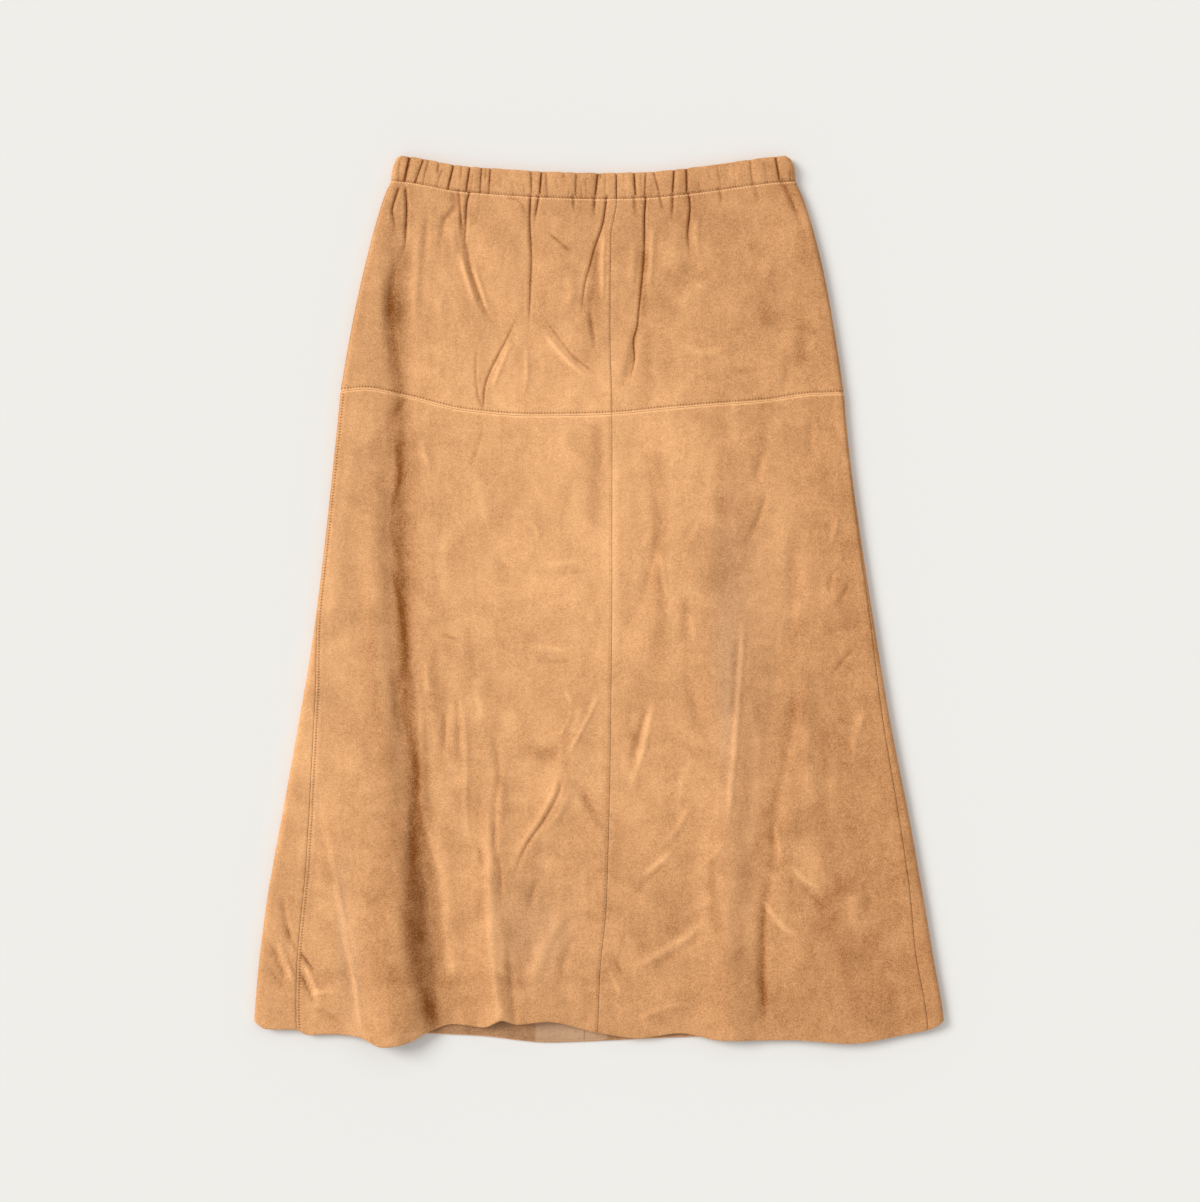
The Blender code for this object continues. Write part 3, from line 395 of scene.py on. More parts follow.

# Long ones, along lines of (across, height) points, which fade in and out over those shares of their length: partly
# brushed nap, partly painted shade down the hollows and flanks of the folds and creases, and painted highlight on
# some crests. The back's are the front's, seen from behind and fainter.
BACK_STREAKS = 0.45  # times as strong as the front's
Streak = namedtuple("Streak", "tone half_width line fade_in fade_out", defaults=(0.3, 0.3))
STREAKS = (
    # Down the hollow beside the roll: painted shade of the hollow and of the roll's steep flank.
    (-0.5, 9, ((-184, 304), (-183, 234), (-179, 162), (-176, 90), (-175, 36), (-175, -18), (-172, -80), (-164, -135),
        (-163, -180), (-166, -234), (-170, -274), (-166, -315), (-156, -350), (-146, -388)), 0.06, 0.02),
    (-0.3, 10, ((-166, -90), (-162, -135), (-163, -180), (-168, -234), (-172, -274), (-168, -315), (-160, -350),
        (-154, -386)), 0.2, 0.1),
    (0.4, 5, ((-184, 164), (-184, 137), (-183, 104))),
    (-0.18, 8, ((-195, 175), (-198, 60), (-198, -20)), 0.2, 0.2),
    (-0.3, 6, ((-185, -56), (-184, -84), (-183, -108))),
    (-0.3, 6, ((-185, -160), (-184, -210), (-183, -254))),
    (-0.45, 6, ((-160, -248), (-160, -284), (-159, -320))),
    (-0.4, 6, ((-150, -314), (-149, -335), (-146, -354))),
    (-0.3, 6, ((-129, -325), (-129, -348), (-128, -372))),
    (0.3, 5, ((-142, 60), (-140, 36), (-141, 0)), 0.2, 0.2),
    (0.3, 6, ((-146, -200), (-141, -234), (-139, -274), (-136, -315), (-132, -345)), 0.2, 0.1),
    (-0.4, 7, ((-200, 10), (-202, -20), (-203, -60), (-200, -100), (-192, -130), (-188, -160)), 0.2, 0.2),
    (-0.55, 14, ((-182, -318), (-177, -350), (-170, -388)), 0.4, 0.02),
    (-0.5, 9, ((-156, -345), (-153, -366), (-148, -388)), 0.5, 0.02),
    (-0.2, 12, ((-192, -230), (-190, -300), (-186, -350)), 0.3, 0.2),
    (-0.4, 7, ((-182, -85), (-181, -106), (-180, -125))),
    # Along the left edge.
    (0.35, 6, ((-228, 130), (-234, 90), (-240, 50), (-243, 10), (-246, -30)), 0.2, 0.2),
    (0.25, 7, ((-254, -90), (-256, -140), (-256, -200), (-256, -240)), 0.2, 0.2),
    # Between the roll and the middle seam.
    (-0.3, 4, ((-148, -25), (-148, -45), (-148, -110), (-150, -125))),
    (-0.25, 12, ((-96, 155), (-74, 153), (-56, 150))),
    (-0.4, 7, ((-4, 164), (-2, 121), (-5, 89), (-2, 56)), 0.1),
    (-0.3, 5, ((-84, 36), (-84, 24), (-86, 10))),
    (-0.25, 10, ((-120, -95), (-118, -138), (-114, -171), (-98, -215)), 0.2, 0.2),
    (-0.3, 4, ((-31, -100), (-30, -138), (-29, -171))),
    (0.35, 3.5, ((-17, -92), (-20, -110), (-24, -122))),
    (0.3, 4, ((-18, -160), (-19, -175), (-22, -190))),
    (0.3, 5, ((-94, -255), (-93, -300), (-87, -340)), 0.2, 0.1),
    (0.3, 6, ((-26, -285), (-24, -300), (-30, -318))),
    (-0.35, 5, ((-141, -60), (-141, -90), (-143, -135), (-146, -160))),
    (0.25, 3.5, ((-130, -60), (-129, -90), (-128, -120))),
    (-0.25, 8, ((-128, -160), (-122, -180), (-112, -200))),
    (-0.4, 4.5, ((-86, -150), (-85, -180), (-84, -205))),
    (-0.4, 9, ((-78, -130), (-60, -135), (-44, -138), (-30, -134))),
    (0.35, 5, ((-86, -95), (-80, -111), (-78, -125))),
    (-0.3, 5, ((-20, -162), (-10, -180), (-2, -198), (4, -213))),
    (0.3, 9, ((-58, -228), (-45, -236), (-34, -230))),
    (0.25, 5, ((-38, -198), (-44, -208), (-52, -220))),
    (-0.3, 4.5, ((-106, -255), (-107, -274), (-106, -290))),
    (0.3, 4, ((-96, -215), (-96, -234), (-96, -250))),
    (-0.3, 4, ((-64, -300), (-64, -315), (-62, -330))),
    (0.3, 5, ((-86, -300), (-85, -315), (-84, -330))),
    (0.25, 6, ((-34, -340), (-31, -350), (-30, -362))),
    # Right of the middle seam.
    (0.3, 5, ((14, 140), (12, 90), (12, 36), (13, -18), (14, -60)), 0.2, 0.2),
    (-0.35, 6, ((44, 170), (52, 120), (56, 90), (55, 36), (56, -18), (50, -60)), 0.2, 0.2),
    (-0.4, 5, ((76, 10), (76, -18), (74, -45))),
    (0.3, 6, ((100, 130), (98, 90), (108, 60))),
    (0.35, 5, ((122, 190), (120, 162), (122, 135))),
    (-0.3, 9, ((146, 190), (147, 162), (140, 130))),
    (-0.4, 4, ((124, -30), (122, -80), (120, -110)), 0.2, 0.2),
    (0.3, 6, ((15, -280), (14, -300), (15, -322))),
    (0.4, 6, ((143, -105), (142, -135), (140, -180), (134, -215), (126, -240)), 0.2, 0.2),
    (0.2, 5, ((133, -265), (133, -300), (135, -340)), 0.2, 0.2),
    (-0.3, 4.5, ((150, -255), (148, -274), (147, -315), (147, -335), (148, -380)), 0.2, 0.2),
    (-0.4, 6, ((100, -215), (100, -240), (103, -268), (106, -300), (110, -320))),
    (0.4, 11, ((180, -205), (188, -234), (204, -272))),
    (0.4, 6, ((208, -150), (208, -180), (209, -200))),
    (0.25, 14, ((222, -262), (236, -280), (250, -300))),
    (-0.25, 5, ((32, -160), (30, -135), (28, -110))),
    # Pale wisps where the nap is stroked; those along the crests of creases are also painted highlight.
    (0.3, 3, ((51, -85), (44, -112), (39, -136), (26, -176)), 0.3, 0.4),
    (0.3, 3, ((68, -224), (52, -238), (34, -252)), 0.3, 0.4),
    (0.3, 4, ((101, -284), (79, -302), (50, -320), (20, -336)), 0.3, 0.4),
    (0.3, 2.6, ((172, -237), (184, -250), (199, -261)), 0.3, 0.4),
    (0.35, 2.6, ((146, -268), (156, -282), (166, -294), (184, -307)), 0.3, 0.4),
    (0.25, 3, ((131, -5), (128, -42), (125, -84), (120, -152), (114, -216)), 0.3, 0.4),
    (0.25, 4, ((-122, 130), (-108, 96), (-100, 60)), 0.3, 0.4),
    (0.25, 4, ((-66, 120), (-52, 92), (-46, 70)), 0.3, 0.4),
    (0.25, 3, ((60, 40), (64, 10), (62, -16)), 0.3, 0.4),
    (0.25, 3, ((84, -136), (74, -164), (70, -196)), 0.3, 0.4),
    (0.25, 3, ((-116, -60), (-108, -92), (-106, -120)), 0.3, 0.4),
    (-0.2, 4, ((-122, -10), (-116, -44), (-112, -80)), 0.3, 0.4),
    (0.2, 5, ((196, 60), (186, 24), (188, -20)), 0.3, 0.4),
    # The yoke: mostly painted shade down its hollows and creases, with a few pale ones.
    (-0.35, 7, ((184, 262), (182, 234), (180, 205))),
    (-0.4, 8, ((-176, 325), (-180, 300), (-186, 277), (-186, 257), (-184, 240))),
    (-0.25, 5, ((-3, 325), (-3, 297), (-3, 262), (-4, 246)), 0.2, 0.4),
    (-0.4, 5, ((40, 325), (40, 297), (40, 257), (38, 240)), 0.2, 0.2),
    (-0.3, 8, ((146, 300), (149, 277), (150, 257), (152, 237))),
    (-0.3, 7, ((-50, 300), (-52, 277), (-50, 257), (-52, 237))),
    (-0.25, 6, ((-32, 326), (-28, 316), (-34, 300))),
    (0.35, 9, ((64, 264), (82, 272), (100, 286))),
    (0.25, 8, ((66, 352), (68, 330), (66, 310), (68, 290))),
    (0.2, 6, ((-117, 345), (-116, 320), (-112, 300))),
    (0.35, 4, ((-68, 340), (-68, 316), (-68, 290)), 0.2, 0.2),
    (0.25, 4, ((-14, 310), (-14, 290), (-14, 270)), 0.2, 0.2),
    (-0.2, 9, ((186, 340), (186, 316), (190, 290))),
    (-0.2, 6, ((-10, 258), (-10, 234), (-8, 205)), 0.4),
    (-0.25, 5, ((44, 262), (44, 234), (42, 205), (44, 170))),
)

# Small ones where it is rubbed to a greyer face.
BARE_PATCHES = (
    (115, -80, 9, 80, 0.35), (-231, -290, 7, 70, 0.25), (-219, -350, 7, 50, 0.2), (120, 12, 22, 80, 0.18),
    (-60, -300, 30, 40, 0.2),
)
HEM_PATCH = (-56.0, 7.0)  # a bare piece of the back's turned-up hem
HEM_ROW = 1.6  # from the hem's fold to the stitching inside it

# ---------------------------------------------------------------------------------------------------------------
# Curves and small helpers, for arrays of places.


def curve_through(points):
    """A smooth function through (place, value) pairs, which never swings past them."""
    places, values = (np.array(row, float) for row in zip(*sorted(points)))
    secants = np.diff(values) / np.diff(places)
    before, after = secants[:-1], secants[1:]
    same_way = before * after > 0
    inner = np.where(same_way, 2 * before * after / np.where(same_way, before + after, 1.0), 0.0)
    slopes = np.concatenate((secants[:1], inner, secants[-1:]))

    def value(place):
        place = np.clip(place, places[0], places[-1])
        k = np.clip(np.searchsorted(places, place, side="right") - 1, 0, len(places) - 2)
        span = places[k + 1] - places[k]
        t = (place - places[k]) / span
        start = values[k] * (1 + 2 * t) * (1 - t) ** 2 + slopes[k] * span * t * (1 - t) ** 2
        end = values[k + 1] * t * t * (3 - 2 * t) - slopes[k + 1] * span * t * t * (1 - t)
        return start + end

    return value


left_edge = curve_through((height, left) for height, left, _ in OUTLINE)
right_edge = curve_through((height, right) for height, _, right in OUTLINE)
left_wrap = curve_through((height, left) for height, left, _ in WRAPS)
right_wrap = curve_through((height, right) for height, _, right in WRAPS)
waist_edge = curve_through(WAIST_EDGE)
front_yoke_seam = curve_through(FRONT_YOKE_SEAM)
back_yoke_seam = curve_through(BACK_YOKE_SEAM)
front_hem = curve_through(FRONT_HEM)
back_hem = curve_through(BACK_HEM)
centre_front = curve_through(CENTRE_FRONT)
centre_back = curve_through(CENTRE_BACK)


def eased(share):
    """0 below 0, 1 above 1, and a soft step between."""
    share = np.clip(share, 0.0, 1.0)
    return share * share * (3 - 2 * share)


def bell(distance, half_width):
    return np.exp(-((distance / half_width) ** 2))


def kept_above(value, least, softness):
    """The value, turned softly so that it never sinks below the least."""
    above = value - least
    return least + (above + np.hypot(above, softness)) / 2


def unit(vectors):
    return vectors / np.linalg.norm(vectors, axis=-1, keepdims=True)


def unevenness(across, height, size, seed):
    """Smooth noise from -1 to 1, with hills about that size."""
    lattice = np.random.default_rng(seed).uniform(0, 2 * math.pi, (64, 64))
    x, y = across / size + 32.0, height / size + 32.0
    column, row = np.floor(x).astype(int), np.floor(y).astype(int)
    u, v = x - column, y - row

    def pull(right, up):
        angle = lattice[(row + up) % 64, (column + right) % 64]
        return np.cos(angle) * (u - right) + np.sin(angle) * (v - up)

    ease_u, ease_v = u**3 * (u * (6 * u - 15) + 10), v**3 * (v * (6 * v - 15) + 10)
    low = pull(0, 0) * (1 - ease_u) + pull(1, 0) * ease_u
    high = pull(0, 1) * (1 - ease_u) + pull(1, 1) * ease_u
    return 1.5 * (low * (1 - ease_v) + high * ease_v)


def smooth_line(points, step=2.5):
    """The points of a soft curve through those given, about a step apart."""
    points = np.array(points, float)
    ends = np.vstack((2 * points[0] - points[1], points, 2 * points[-1] - points[-2]))
    line = [points[:1]]
    for before, start, end, after in zip(ends, ends[1:], ends[2:], ends[3:]):
        count = max(int(np.linalg.norm(end - start) / step), 2)
        t = np.linspace(0, 1, count + 1)[1:, None]
        line.append(
            0.5
            * (
                2 * start
                + (end - before) * t
                + (2 * before - 5 * start + 4 * end - after) * t**2
                + (3 * start - before - 3 * end + after) * t**3
            )
        )
    return np.vstack(line)


def beside_line(line, across, height, reach):
    """For the places within reach of a line: which they are, how far aside each is and its share of the way along."""
    low, high = line.min(axis=0) - reach, line.max(axis=0) + reach
    near = np.flatnonzero((across > low[0]) & (across < high[0]) & (height > low[1]) & (height < high[1]))
    places = np.stack((across[near], height[near]), axis=1)
    run = np.diff(line, axis=0)
    lengths = np.linalg.norm(run, axis=1)
    start_of = np.concatenate(([0.0], np.cumsum(lengths)))
    from_start = places[:, None, :] - line[None, :-1, :]
    share = np.clip((from_start * run).sum(axis=2) / lengths**2, 0.0, 1.0)
    aside = np.linalg.norm(from_start - share[..., None] * run, axis=2)
    nearest = aside.argmin(axis=1)
    rows = np.arange(len(near))
    along = start_of[nearest] + share[rows, nearest] * lengths[nearest]
    return near, aside[rows, nearest], along / start_of[-1]


# ---------------------------------------------------------------------------------------------------------------
# The tube with all that is laid on it.


def rise_of(fold, across, height):
    """How far one of the largest folds lifts the suede."""
    best = np.full(across.shape, np.inf)
    rise = np.zeros(across.shape)
    for start, end in zip(starmap(Fold, fold), starmap(Fold, fold[1:])):
        run = (end.across - start.across, end.height - start.height)
        share = (across - start.across) * run[0] + (height - start.height) * run[1]
        share = np.clip(share / (run[0] ** 2 + run[1] ** 2), 0.0, 1.0)
        aside = np.hypot(across - start.across - share * run[0], height - start.height - share * run[1])
        half_width = start.half_width + share * (end.half_width - start.half_width)
        here = (start.rise + share * (end.rise - start.rise)) * bell(aside, half_width)
        rise = np.where(aside < best, here, rise)
        best = np.minimum(best, aside)
    return rise


def creases_at(creases, across, height):
    """How far the creases lift the suede, and how much paler or darker they paint it: partly rubbed nap, partly
    painted highlight and shade.
    """
    flat_across, flat_height = across.ravel(), height.ravel()
    lift = np.zeros(flat_across.shape)
    rub_and_shade = np.zeros(flat_across.shape)
    for crease in starmap(Crease, creases):
        line = smooth_line(crease.line)
        near, aside, share = beside_line(line, flat_across, flat_height, 2.8 * crease.half_width)
        fade = eased(share / crease.fade_in) * eased((1 - share) / crease.fade_out)
        u = (aside / crease.half_width) ** 2
        lift[near] += CREASE_DEPTH * crease.rise * fade * (1 - 0.8 * u) * np.exp(-u)
        # Ridges are painted paler and troughs darker: partly rubbed nap, partly painted highlight and shade.
        sharp = crease.rise / crease.half_width
        rub_and_shade[near] += np.clip(sharp, -0.8, 0.5) * fade * np.exp(-3.0 * u)
    return lift.reshape(across.shape), rub_and_shade.reshape(across.shape)


def casing_seam(across):
    return waist_edge(across) - BAND_HEIGHT


def yoke_seam(across, on_front):
    return np.where(on_front, front_yoke_seam(across), back_yoke_seam(across))


def hem_line(across, on_front):
    """Where the turn at the hem starts."""
    return np.where(on_front, front_hem(across), back_hem(across)) + HEM_TURN


def below_gathers(gathers, across, below):
    """How deep the casing's gathers still are, that far below its seam."""
    dip = np.zeros(across.shape)
    for gather in starmap(Gather, gathers):
        if gather.ends < 1.0:
            continue
        slant = (gather.bottom - gather.top) / BAND_HEIGHT
        aside = across - gather.bottom - slant * below
        dip += gather.depth * bell(aside, 1.3 * gather.half_width)
    return dip * np.exp(-np.maximum(below, 0.0) / GATHER_REACH) * eased((below + 3.0) / 3.0)


def front_lift(across, height):
    """What the creases, the gathers and the slackness of the suede add to the front, and how it is painted paler and
    darker: partly rubbed nap, partly painted highlight on ridges and painted shade in troughs and gathers.
    """
    below = casing_seam(across) - height
    in_band = eased(below / 4.0 + 1.0)
    lift, rub_and_shade = creases_at(FRONT_CREASES, across, height)
    dips = below_gathers(FRONT_GATHERS, across, below)
    lift = lift * in_band - 0.55 * dips
    # Painted shade where the casing's gathers run on below it.
    rub_and_shade = rub_and_shade * in_band - 0.15 * dips
    slack = sum(hill.rise * unevenness(across, hill.drawn_out * height, hill.size, hill.seed) for hill in SLACKNESS)
    return lift + slack * eased(below / 30.0), rub_and_shade


def near_hem(hem, across, height):
    """1 where the suede is turned up inside the hem, and 0 well above it."""
    return eased((hem(across) + HEM_DEPTH + 22.0 - height) / 18.0)


def front_height(across, height, to_side):
    """The middle of the front wall above the surface."""
    at_hem = near_hem(front_hem, across, height)
    least = LEAST_HEIGHT + at_hem * (LEAST_HEIGHT_AT_HEM - LEAST_HEIGHT)
    slack = REST_HEIGHT + 0.8 * at_hem
    for fold in FOLDS.values():
        slack = slack + rise_of(fold, across, height)
    slack = kept_above(slack, least, 1.0)
    held = 1 - eased(to_side / SIDE_FALL) * eased((casing_seam(across) - height) / BAND_FALL)
    middle = slack + held * (TOP_HEIGHT - slack)
    middle = middle + front_lift(across, height)[0] * eased(to_side / 7.0)
    return kept_above(middle, least, 0.6)


def back_height(across, height, to_side):
    """The middle of the back wall above the surface that it lies on."""
    lift = np.clip(creases_at(BACK_CREASES, across, height)[0], 0.0, 0.9)
    return HALF_WALL + lift * (1 - 0.5 * near_hem(back_hem, across, height)) * eased(to_side / 12.0)


def girth(height):
    """From the left fold to the right one, over the front."""
    return right_edge(height) - left_edge(height) - WALL - 2 * EDGE_RADIUS + 2 * QUARTER


def across_at(along, height):
    """Where a distance round the tube is across the skirt, whether it is on the front, and how far in."""
    length = girth(height)
    along = (along + length) % (2 * length) - length
    in_left = np.abs(along)
    in_right = length - in_left
    left = left_edge(height) + HALF_WALL + EDGE_RADIUS
    right = right_edge(height) - HALF_WALL - EDGE_RADIUS
    across = left + in_left - QUARTER
    across = np.where(in_left < QUARTER, left - EDGE_RADIUS * np.cos(in_left / EDGE_RADIUS), across)
    across = np.where(in_right < QUARTER, right + EDGE_RADIUS * np.cos(in_right / EDGE_RADIUS), across)
    return across, along >= 0, np.minimum(in_left, in_right)


def along_at(across, height, on_front=True):
    """The distance round the tube of a place between the side folds."""
    along = across - (left_edge(height) + HALF_WALL + EDGE_RADIUS) + QUARTER
    return along if on_front else -along


def front_middle(height):
    """The distance round the tube of the front's middle seam."""
    return along_at(centre_front(height), height)


def back_middle(height):
    return along_at(centre_back(height), height, on_front=False)


def tube_point(along, height):
    """The middle of the wall at a distance round the tube."""
    along, height = np.broadcast_arrays(along, height)
    across, on_front, inwards = across_at(along, height)
    side = np.where(on_front, 1.0, -1.0)
    middle = MID_HEIGHT + side * EDGE_RADIUS * np.sin(np.minimum(inwards, QUARTER) / EDGE_RADIUS)
    for flat, height_of in (
        ((inwards >= QUARTER) & on_front, front_height),
        ((inwards >= QUARTER) & ~on_front, back_height),
    ):
        if flat.any():
            middle[flat] = height_of(across[flat], height[flat], inwards[flat] - QUARTER)
    return np.stack((across, height, middle), axis=-1)


SLOPE_STEP = 0.5  # between the places that a slope is taken from


def frame_at(along, height):
    """Points of the tube, the way out of its wall, and the way up the wall towards the waist."""
    point = tube_point(along, height)
    round_tube = tube_point(along + SLOPE_STEP, height) - tube_point(along - SLOPE_STEP, height)
    upwards = tube_point(along, height + SLOPE_STEP) - tube_point(along, height - SLOPE_STEP)
    out = unit(np.cross(round_tube, upwards))
    return point, out, unit(np.cross(out, round_tube))


def placed(shares, span, line_at):
    """(along, height) of places, each that share of the way across a piece, on lines across the tube."""
    height = line_at(np.zeros(shares.shape), True)
    for _ in range(8):
        start, end = span(height)
        along = start + shares * (end - start)
        across, on_front, _ = across_at(along, height)
        height = line_at(across, on_front)
    return along, height


# ---------------------------------------------------------------------------------------------------------------
# Sections of a piece, and its mesh.

EDGE_STEPS = (0.0, 0.25, 0.6, 1.1, 1.8, 2.5, 3.3, 4.3, 5.3, 6.3, 7.6)  # rows close together beside a seam


def spread(length, cell, close_start=True, close_end=True):
    """Places from 0 to 1 of a length, a cell apart, and closer beside the ends that are seams."""
    start = EDGE_STEPS if close_start else [0.0]
    end = [length - step for step in EDGE_STEPS] if close_end else [length]
    count = max(round((end[-1] - start[-1]) / cell), 1)
    between = np.linspace(start[-1], end[-1], count + 1)[1:-1]
    return np.concatenate((start, between, end[::-1])) / length


class Sections:
    """The sections of one piece, from its top to its end: where its wall's middle is and what is laid on it."""

    FIELDS = ("point", "out", "stand", "tone", "row", "run", "bare")

    def __init__(self):
        self.rows = {field: [] for field in self.FIELDS}

    def add(self, point, out, stand=0.0, tone=0.0, row=0.0, run=0.0, bare=0.0):
        """Adds one or more sections. The outer skin stands that much further out than half the wall."""
        shape = point.shape[:-1]
        for field, value in zip(self.FIELDS, (point, out, stand, tone, row, run, bare)):
            value = value if field in ("point", "out") else np.broadcast_to(value, shape)
            self.rows[field].append(np.array(value, float))

    def __getattr__(self, field):
        return np.concatenate(self.rows[field], axis=0)


def wall(name, sections, materials):
    """One piece as two skins joined round its rims: the brushed outer one and the inner one."""
    point, out = sections.point, sections.out
    rows, columns = point.shape[:2]
    outer = point + out * (HALF_WALL + sections.stand)[..., None]
    inner = point - out * HALF_WALL
    corners = np.concatenate((outer.reshape(-1, 3), inner.reshape(-1, 3))) * METRES
    index = np.arange(rows * columns).reshape(rows, columns)
    quads = np.stack((index[:-1, :-1], index[:-1, 1:], index[1:, 1:], index[1:, :-1]), axis=-1).reshape(-1, 4)
    turned_over = facing_in(corners, quads, out.reshape(-1, 3))
    if turned_over:
        quads = quads[:, ::-1]
    other = index + rows * columns
    rims = []
    for edge, beyond in (
        (index[0, ::-1], other[0, ::-1]),
        (index[-1, :], other[-1, :]),
        (index[:, 0], other[:, 0]),
        (index[::-1, -1], other[::-1, -1]),
    ):
        rim = np.stack((edge[:-1], edge[1:], beyond[1:], beyond[:-1]), axis=-1)
        rims.append(rim if turned_over else rim[:, ::-1])
    inner_quads = quads[:, ::-1] + rows * columns
    faces = np.concatenate((quads, inner_quads, *rims))
    piece = mesh_piece(name, corners, faces, materials)
    slots = np.ones(len(faces), np.int32)
    slots[: len(quads)] = 0
    piece.data.polygons.foreach_set("material_index", slots)
    for field in ("tone", "row", "run", "bare"):
        values = getattr(sections, field).ravel().astype(np.float32)
        attribute = piece.data.attributes.new(field, "FLOAT", "POINT")
        attribute.data.foreach_set("value", np.concatenate((values, values)))
    return piece


def facing_in(corners, quads, out):
    """Whether faces with their corners in this order look into the wall."""
    a, b, d = (corners[quads[:, k]] for k in (0, 1, 3))
    return (np.cross(b - a, d - a) * out[quads[:, 0]]).sum() < 0


def mesh_piece(name, corners, faces, materials):
    """A smooth mesh of quads that rides on the skirt."""
    mesh = bpy.data.meshes.new(name)
    mesh.vertices.add(len(corners))
    mesh.vertices.foreach_set("co", np.asarray(corners, np.float32).ravel())
    mesh.loops.add(faces.size)
    mesh.loops.foreach_set("vertex_index", np.ascontiguousarray(faces, np.int32).ravel())
    mesh.polygons.add(len(faces))
    mesh.polygons.foreach_set("loop_start", np.arange(len(faces), dtype=np.int32) * faces.shape[1])
    mesh.update(calc_edges=True)
    mesh.validate()
    mesh.shade_smooth()
    mesh.set_sharp_from_angle(angle=math.radians(62))
    for material in materials:
        mesh.materials.append(material)
    piece = bpy.data.objects.new(name, mesh)
    bpy.context.scene.collection.objects.link(piece)
    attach(piece, BODY)
    return piece


# ---------------------------------------------------------------------------------------------------------------
# Seams.

# Beside an edge of a piece: how far the suede turns down into the seam, how thick and wide the turned allowance
# under it is, how pale (above zero, a painted highlight where the edge catches the light) or dark the edge is, and
# how far its row of stitching stands from it, and how plain that row is to see (below zero, pale dashes: painted
# highlight on the puckers between the stitches).
Seam = namedtuple("Seam", "ditch allowance_rise allowance_width edge_tone row row_strength", defaults=(0.0,) * 5)
SEAMS = {
    "casing, above": Seam(0.3, edge_tone=0.0, row=0.9, row_strength=0.7),
    # Its pale edge and the pale dashes between its stitches are painted highlight on the edge and the puckers.
    "casing, below": Seam(0.1, edge_tone=0.2, row=0.8, row_strength=-2.5),
    # The pale edges on both sides of the yoke seam are painted highlight, where the edges catch the light.
    "above the yoke seam": Seam(0.22, 0.3, 7.5, 0.9, 2.2, 1.1),
    "below the yoke seam": Seam(0.22, 0.3, 8.0, 0.9),
    "left of the middle": Seam(0.32, 0.3, 8.5, -0.25, 1.8, 0.45),
    "right of the middle": Seam(0.22, 0.25, 8.0, -0.05),
    "middle of the yoke, left": Seam(0.25, 0.15, 7.0, -0.1, 0.5, 0.35),
    "middle of the yoke, right": Seam(0.35, 0.15, 7.0, -0.2),
    "left side, front": Seam(0.4, 0.3, 7.0, -0.2, 2.7, 1.2),
    "right side, front": Seam(0.4, 0.3, 7.0, -0.2),
    "side, back": Seam(0.35, 0.2, 6.0, -0.1),
    "hem": Seam(0.0, 0.25, HEM_DEPTH),
}
DITCH_WIDTH = 0.75
EDGE_TONE_WIDTH = 1.1
ROW_WIDTH = 0.75
ROW_DEPTH = 0.2
FACING_DOWN = -0.3  # how much a wall's way out points down where nothing may stand out from it, as it lies there
STREAK_STEP = 6.0


def seam_relief(seam, distance):
    """What a seam adds to the outer skin at a distance from it, its tone there, and how near its stitching is."""
    ditch = -seam.ditch * bell(distance, DITCH_WIDTH)
    allowance = seam.allowance_rise * (1 - eased((distance - seam.allowance_width + 1.2) / 2.4))
    row = seam.row_strength * bell(distance - seam.row, ROW_WIDTH)
    return ditch + allowance - ROW_DEPTH * row, seam.edge_tone * bell(distance, EDGE_TONE_WIDTH), row


def laid_out(span, shares, rows, top, bottom, seams):
    """Sections of a piece between two lines that run across the tube, with its seams and the tone of its creases,
    partly rubbed nap and partly painted highlight and shade.
    """
    rows = np.asarray(rows)[:, None]
    shares = np.asarray(shares)[None, :]

    def line_at(across, on_front):
        start = top(across, on_front)
        return start + rows * (bottom(across, on_front) - start)

    along, height = placed(np.broadcast_to(shares, (len(rows), shares.shape[1])), span, line_at)
    point, out, _ = frame_at(along, height)
    across, on_front, _ = across_at(along, height)
    start, end = span(height)
    width = np.abs(end - start)
    tall = np.abs(top(across, on_front) - bottom(across, on_front))
    distances = {"start": shares * width, "end": (1 - shares) * width, "top": rows * tall, "bottom": (1 - rows) * tall}
    stand = np.zeros(across.shape)
    row = np.zeros(across.shape)
    run = np.broadcast_to(height, across.shape).copy()
    tone = tone_at(across, height, on_front)
    for side, seam in seams.items():
        relief, edge_tone, near = seam_relief(SEAMS[seam], distances[side])
        stand = stand + relief
        tone = tone + edge_tone
        nearer = np.abs(near) > np.abs(row)
        run = np.where(nearer, across if side in ("top", "bottom") else height, run)
        row = np.where(nearer, near, row)
    stand = np.where(out[..., 2] < FACING_DOWN, np.minimum(stand, 0.0), stand)
    return point, out, stand, tone, row, run, bareness(across, height, on_front)


def patches_at(patches, across, height):
    tone = np.zeros(across.shape)
    for patch in starmap(Patch, patches):
        aside = ((across - patch.across) / patch.half_across) ** 2 + ((height - patch.height) / patch.half_height) ** 2
        tone += patch.tone * np.exp(-aside)
    return tone


# Painted light and shade: the nap is paler towards the left and darker towards the right, standing for the light from
# the upper left falling off across the skirt.
def painted_falloff_to_the_right(across):
    return -0.12 * across / 300.0


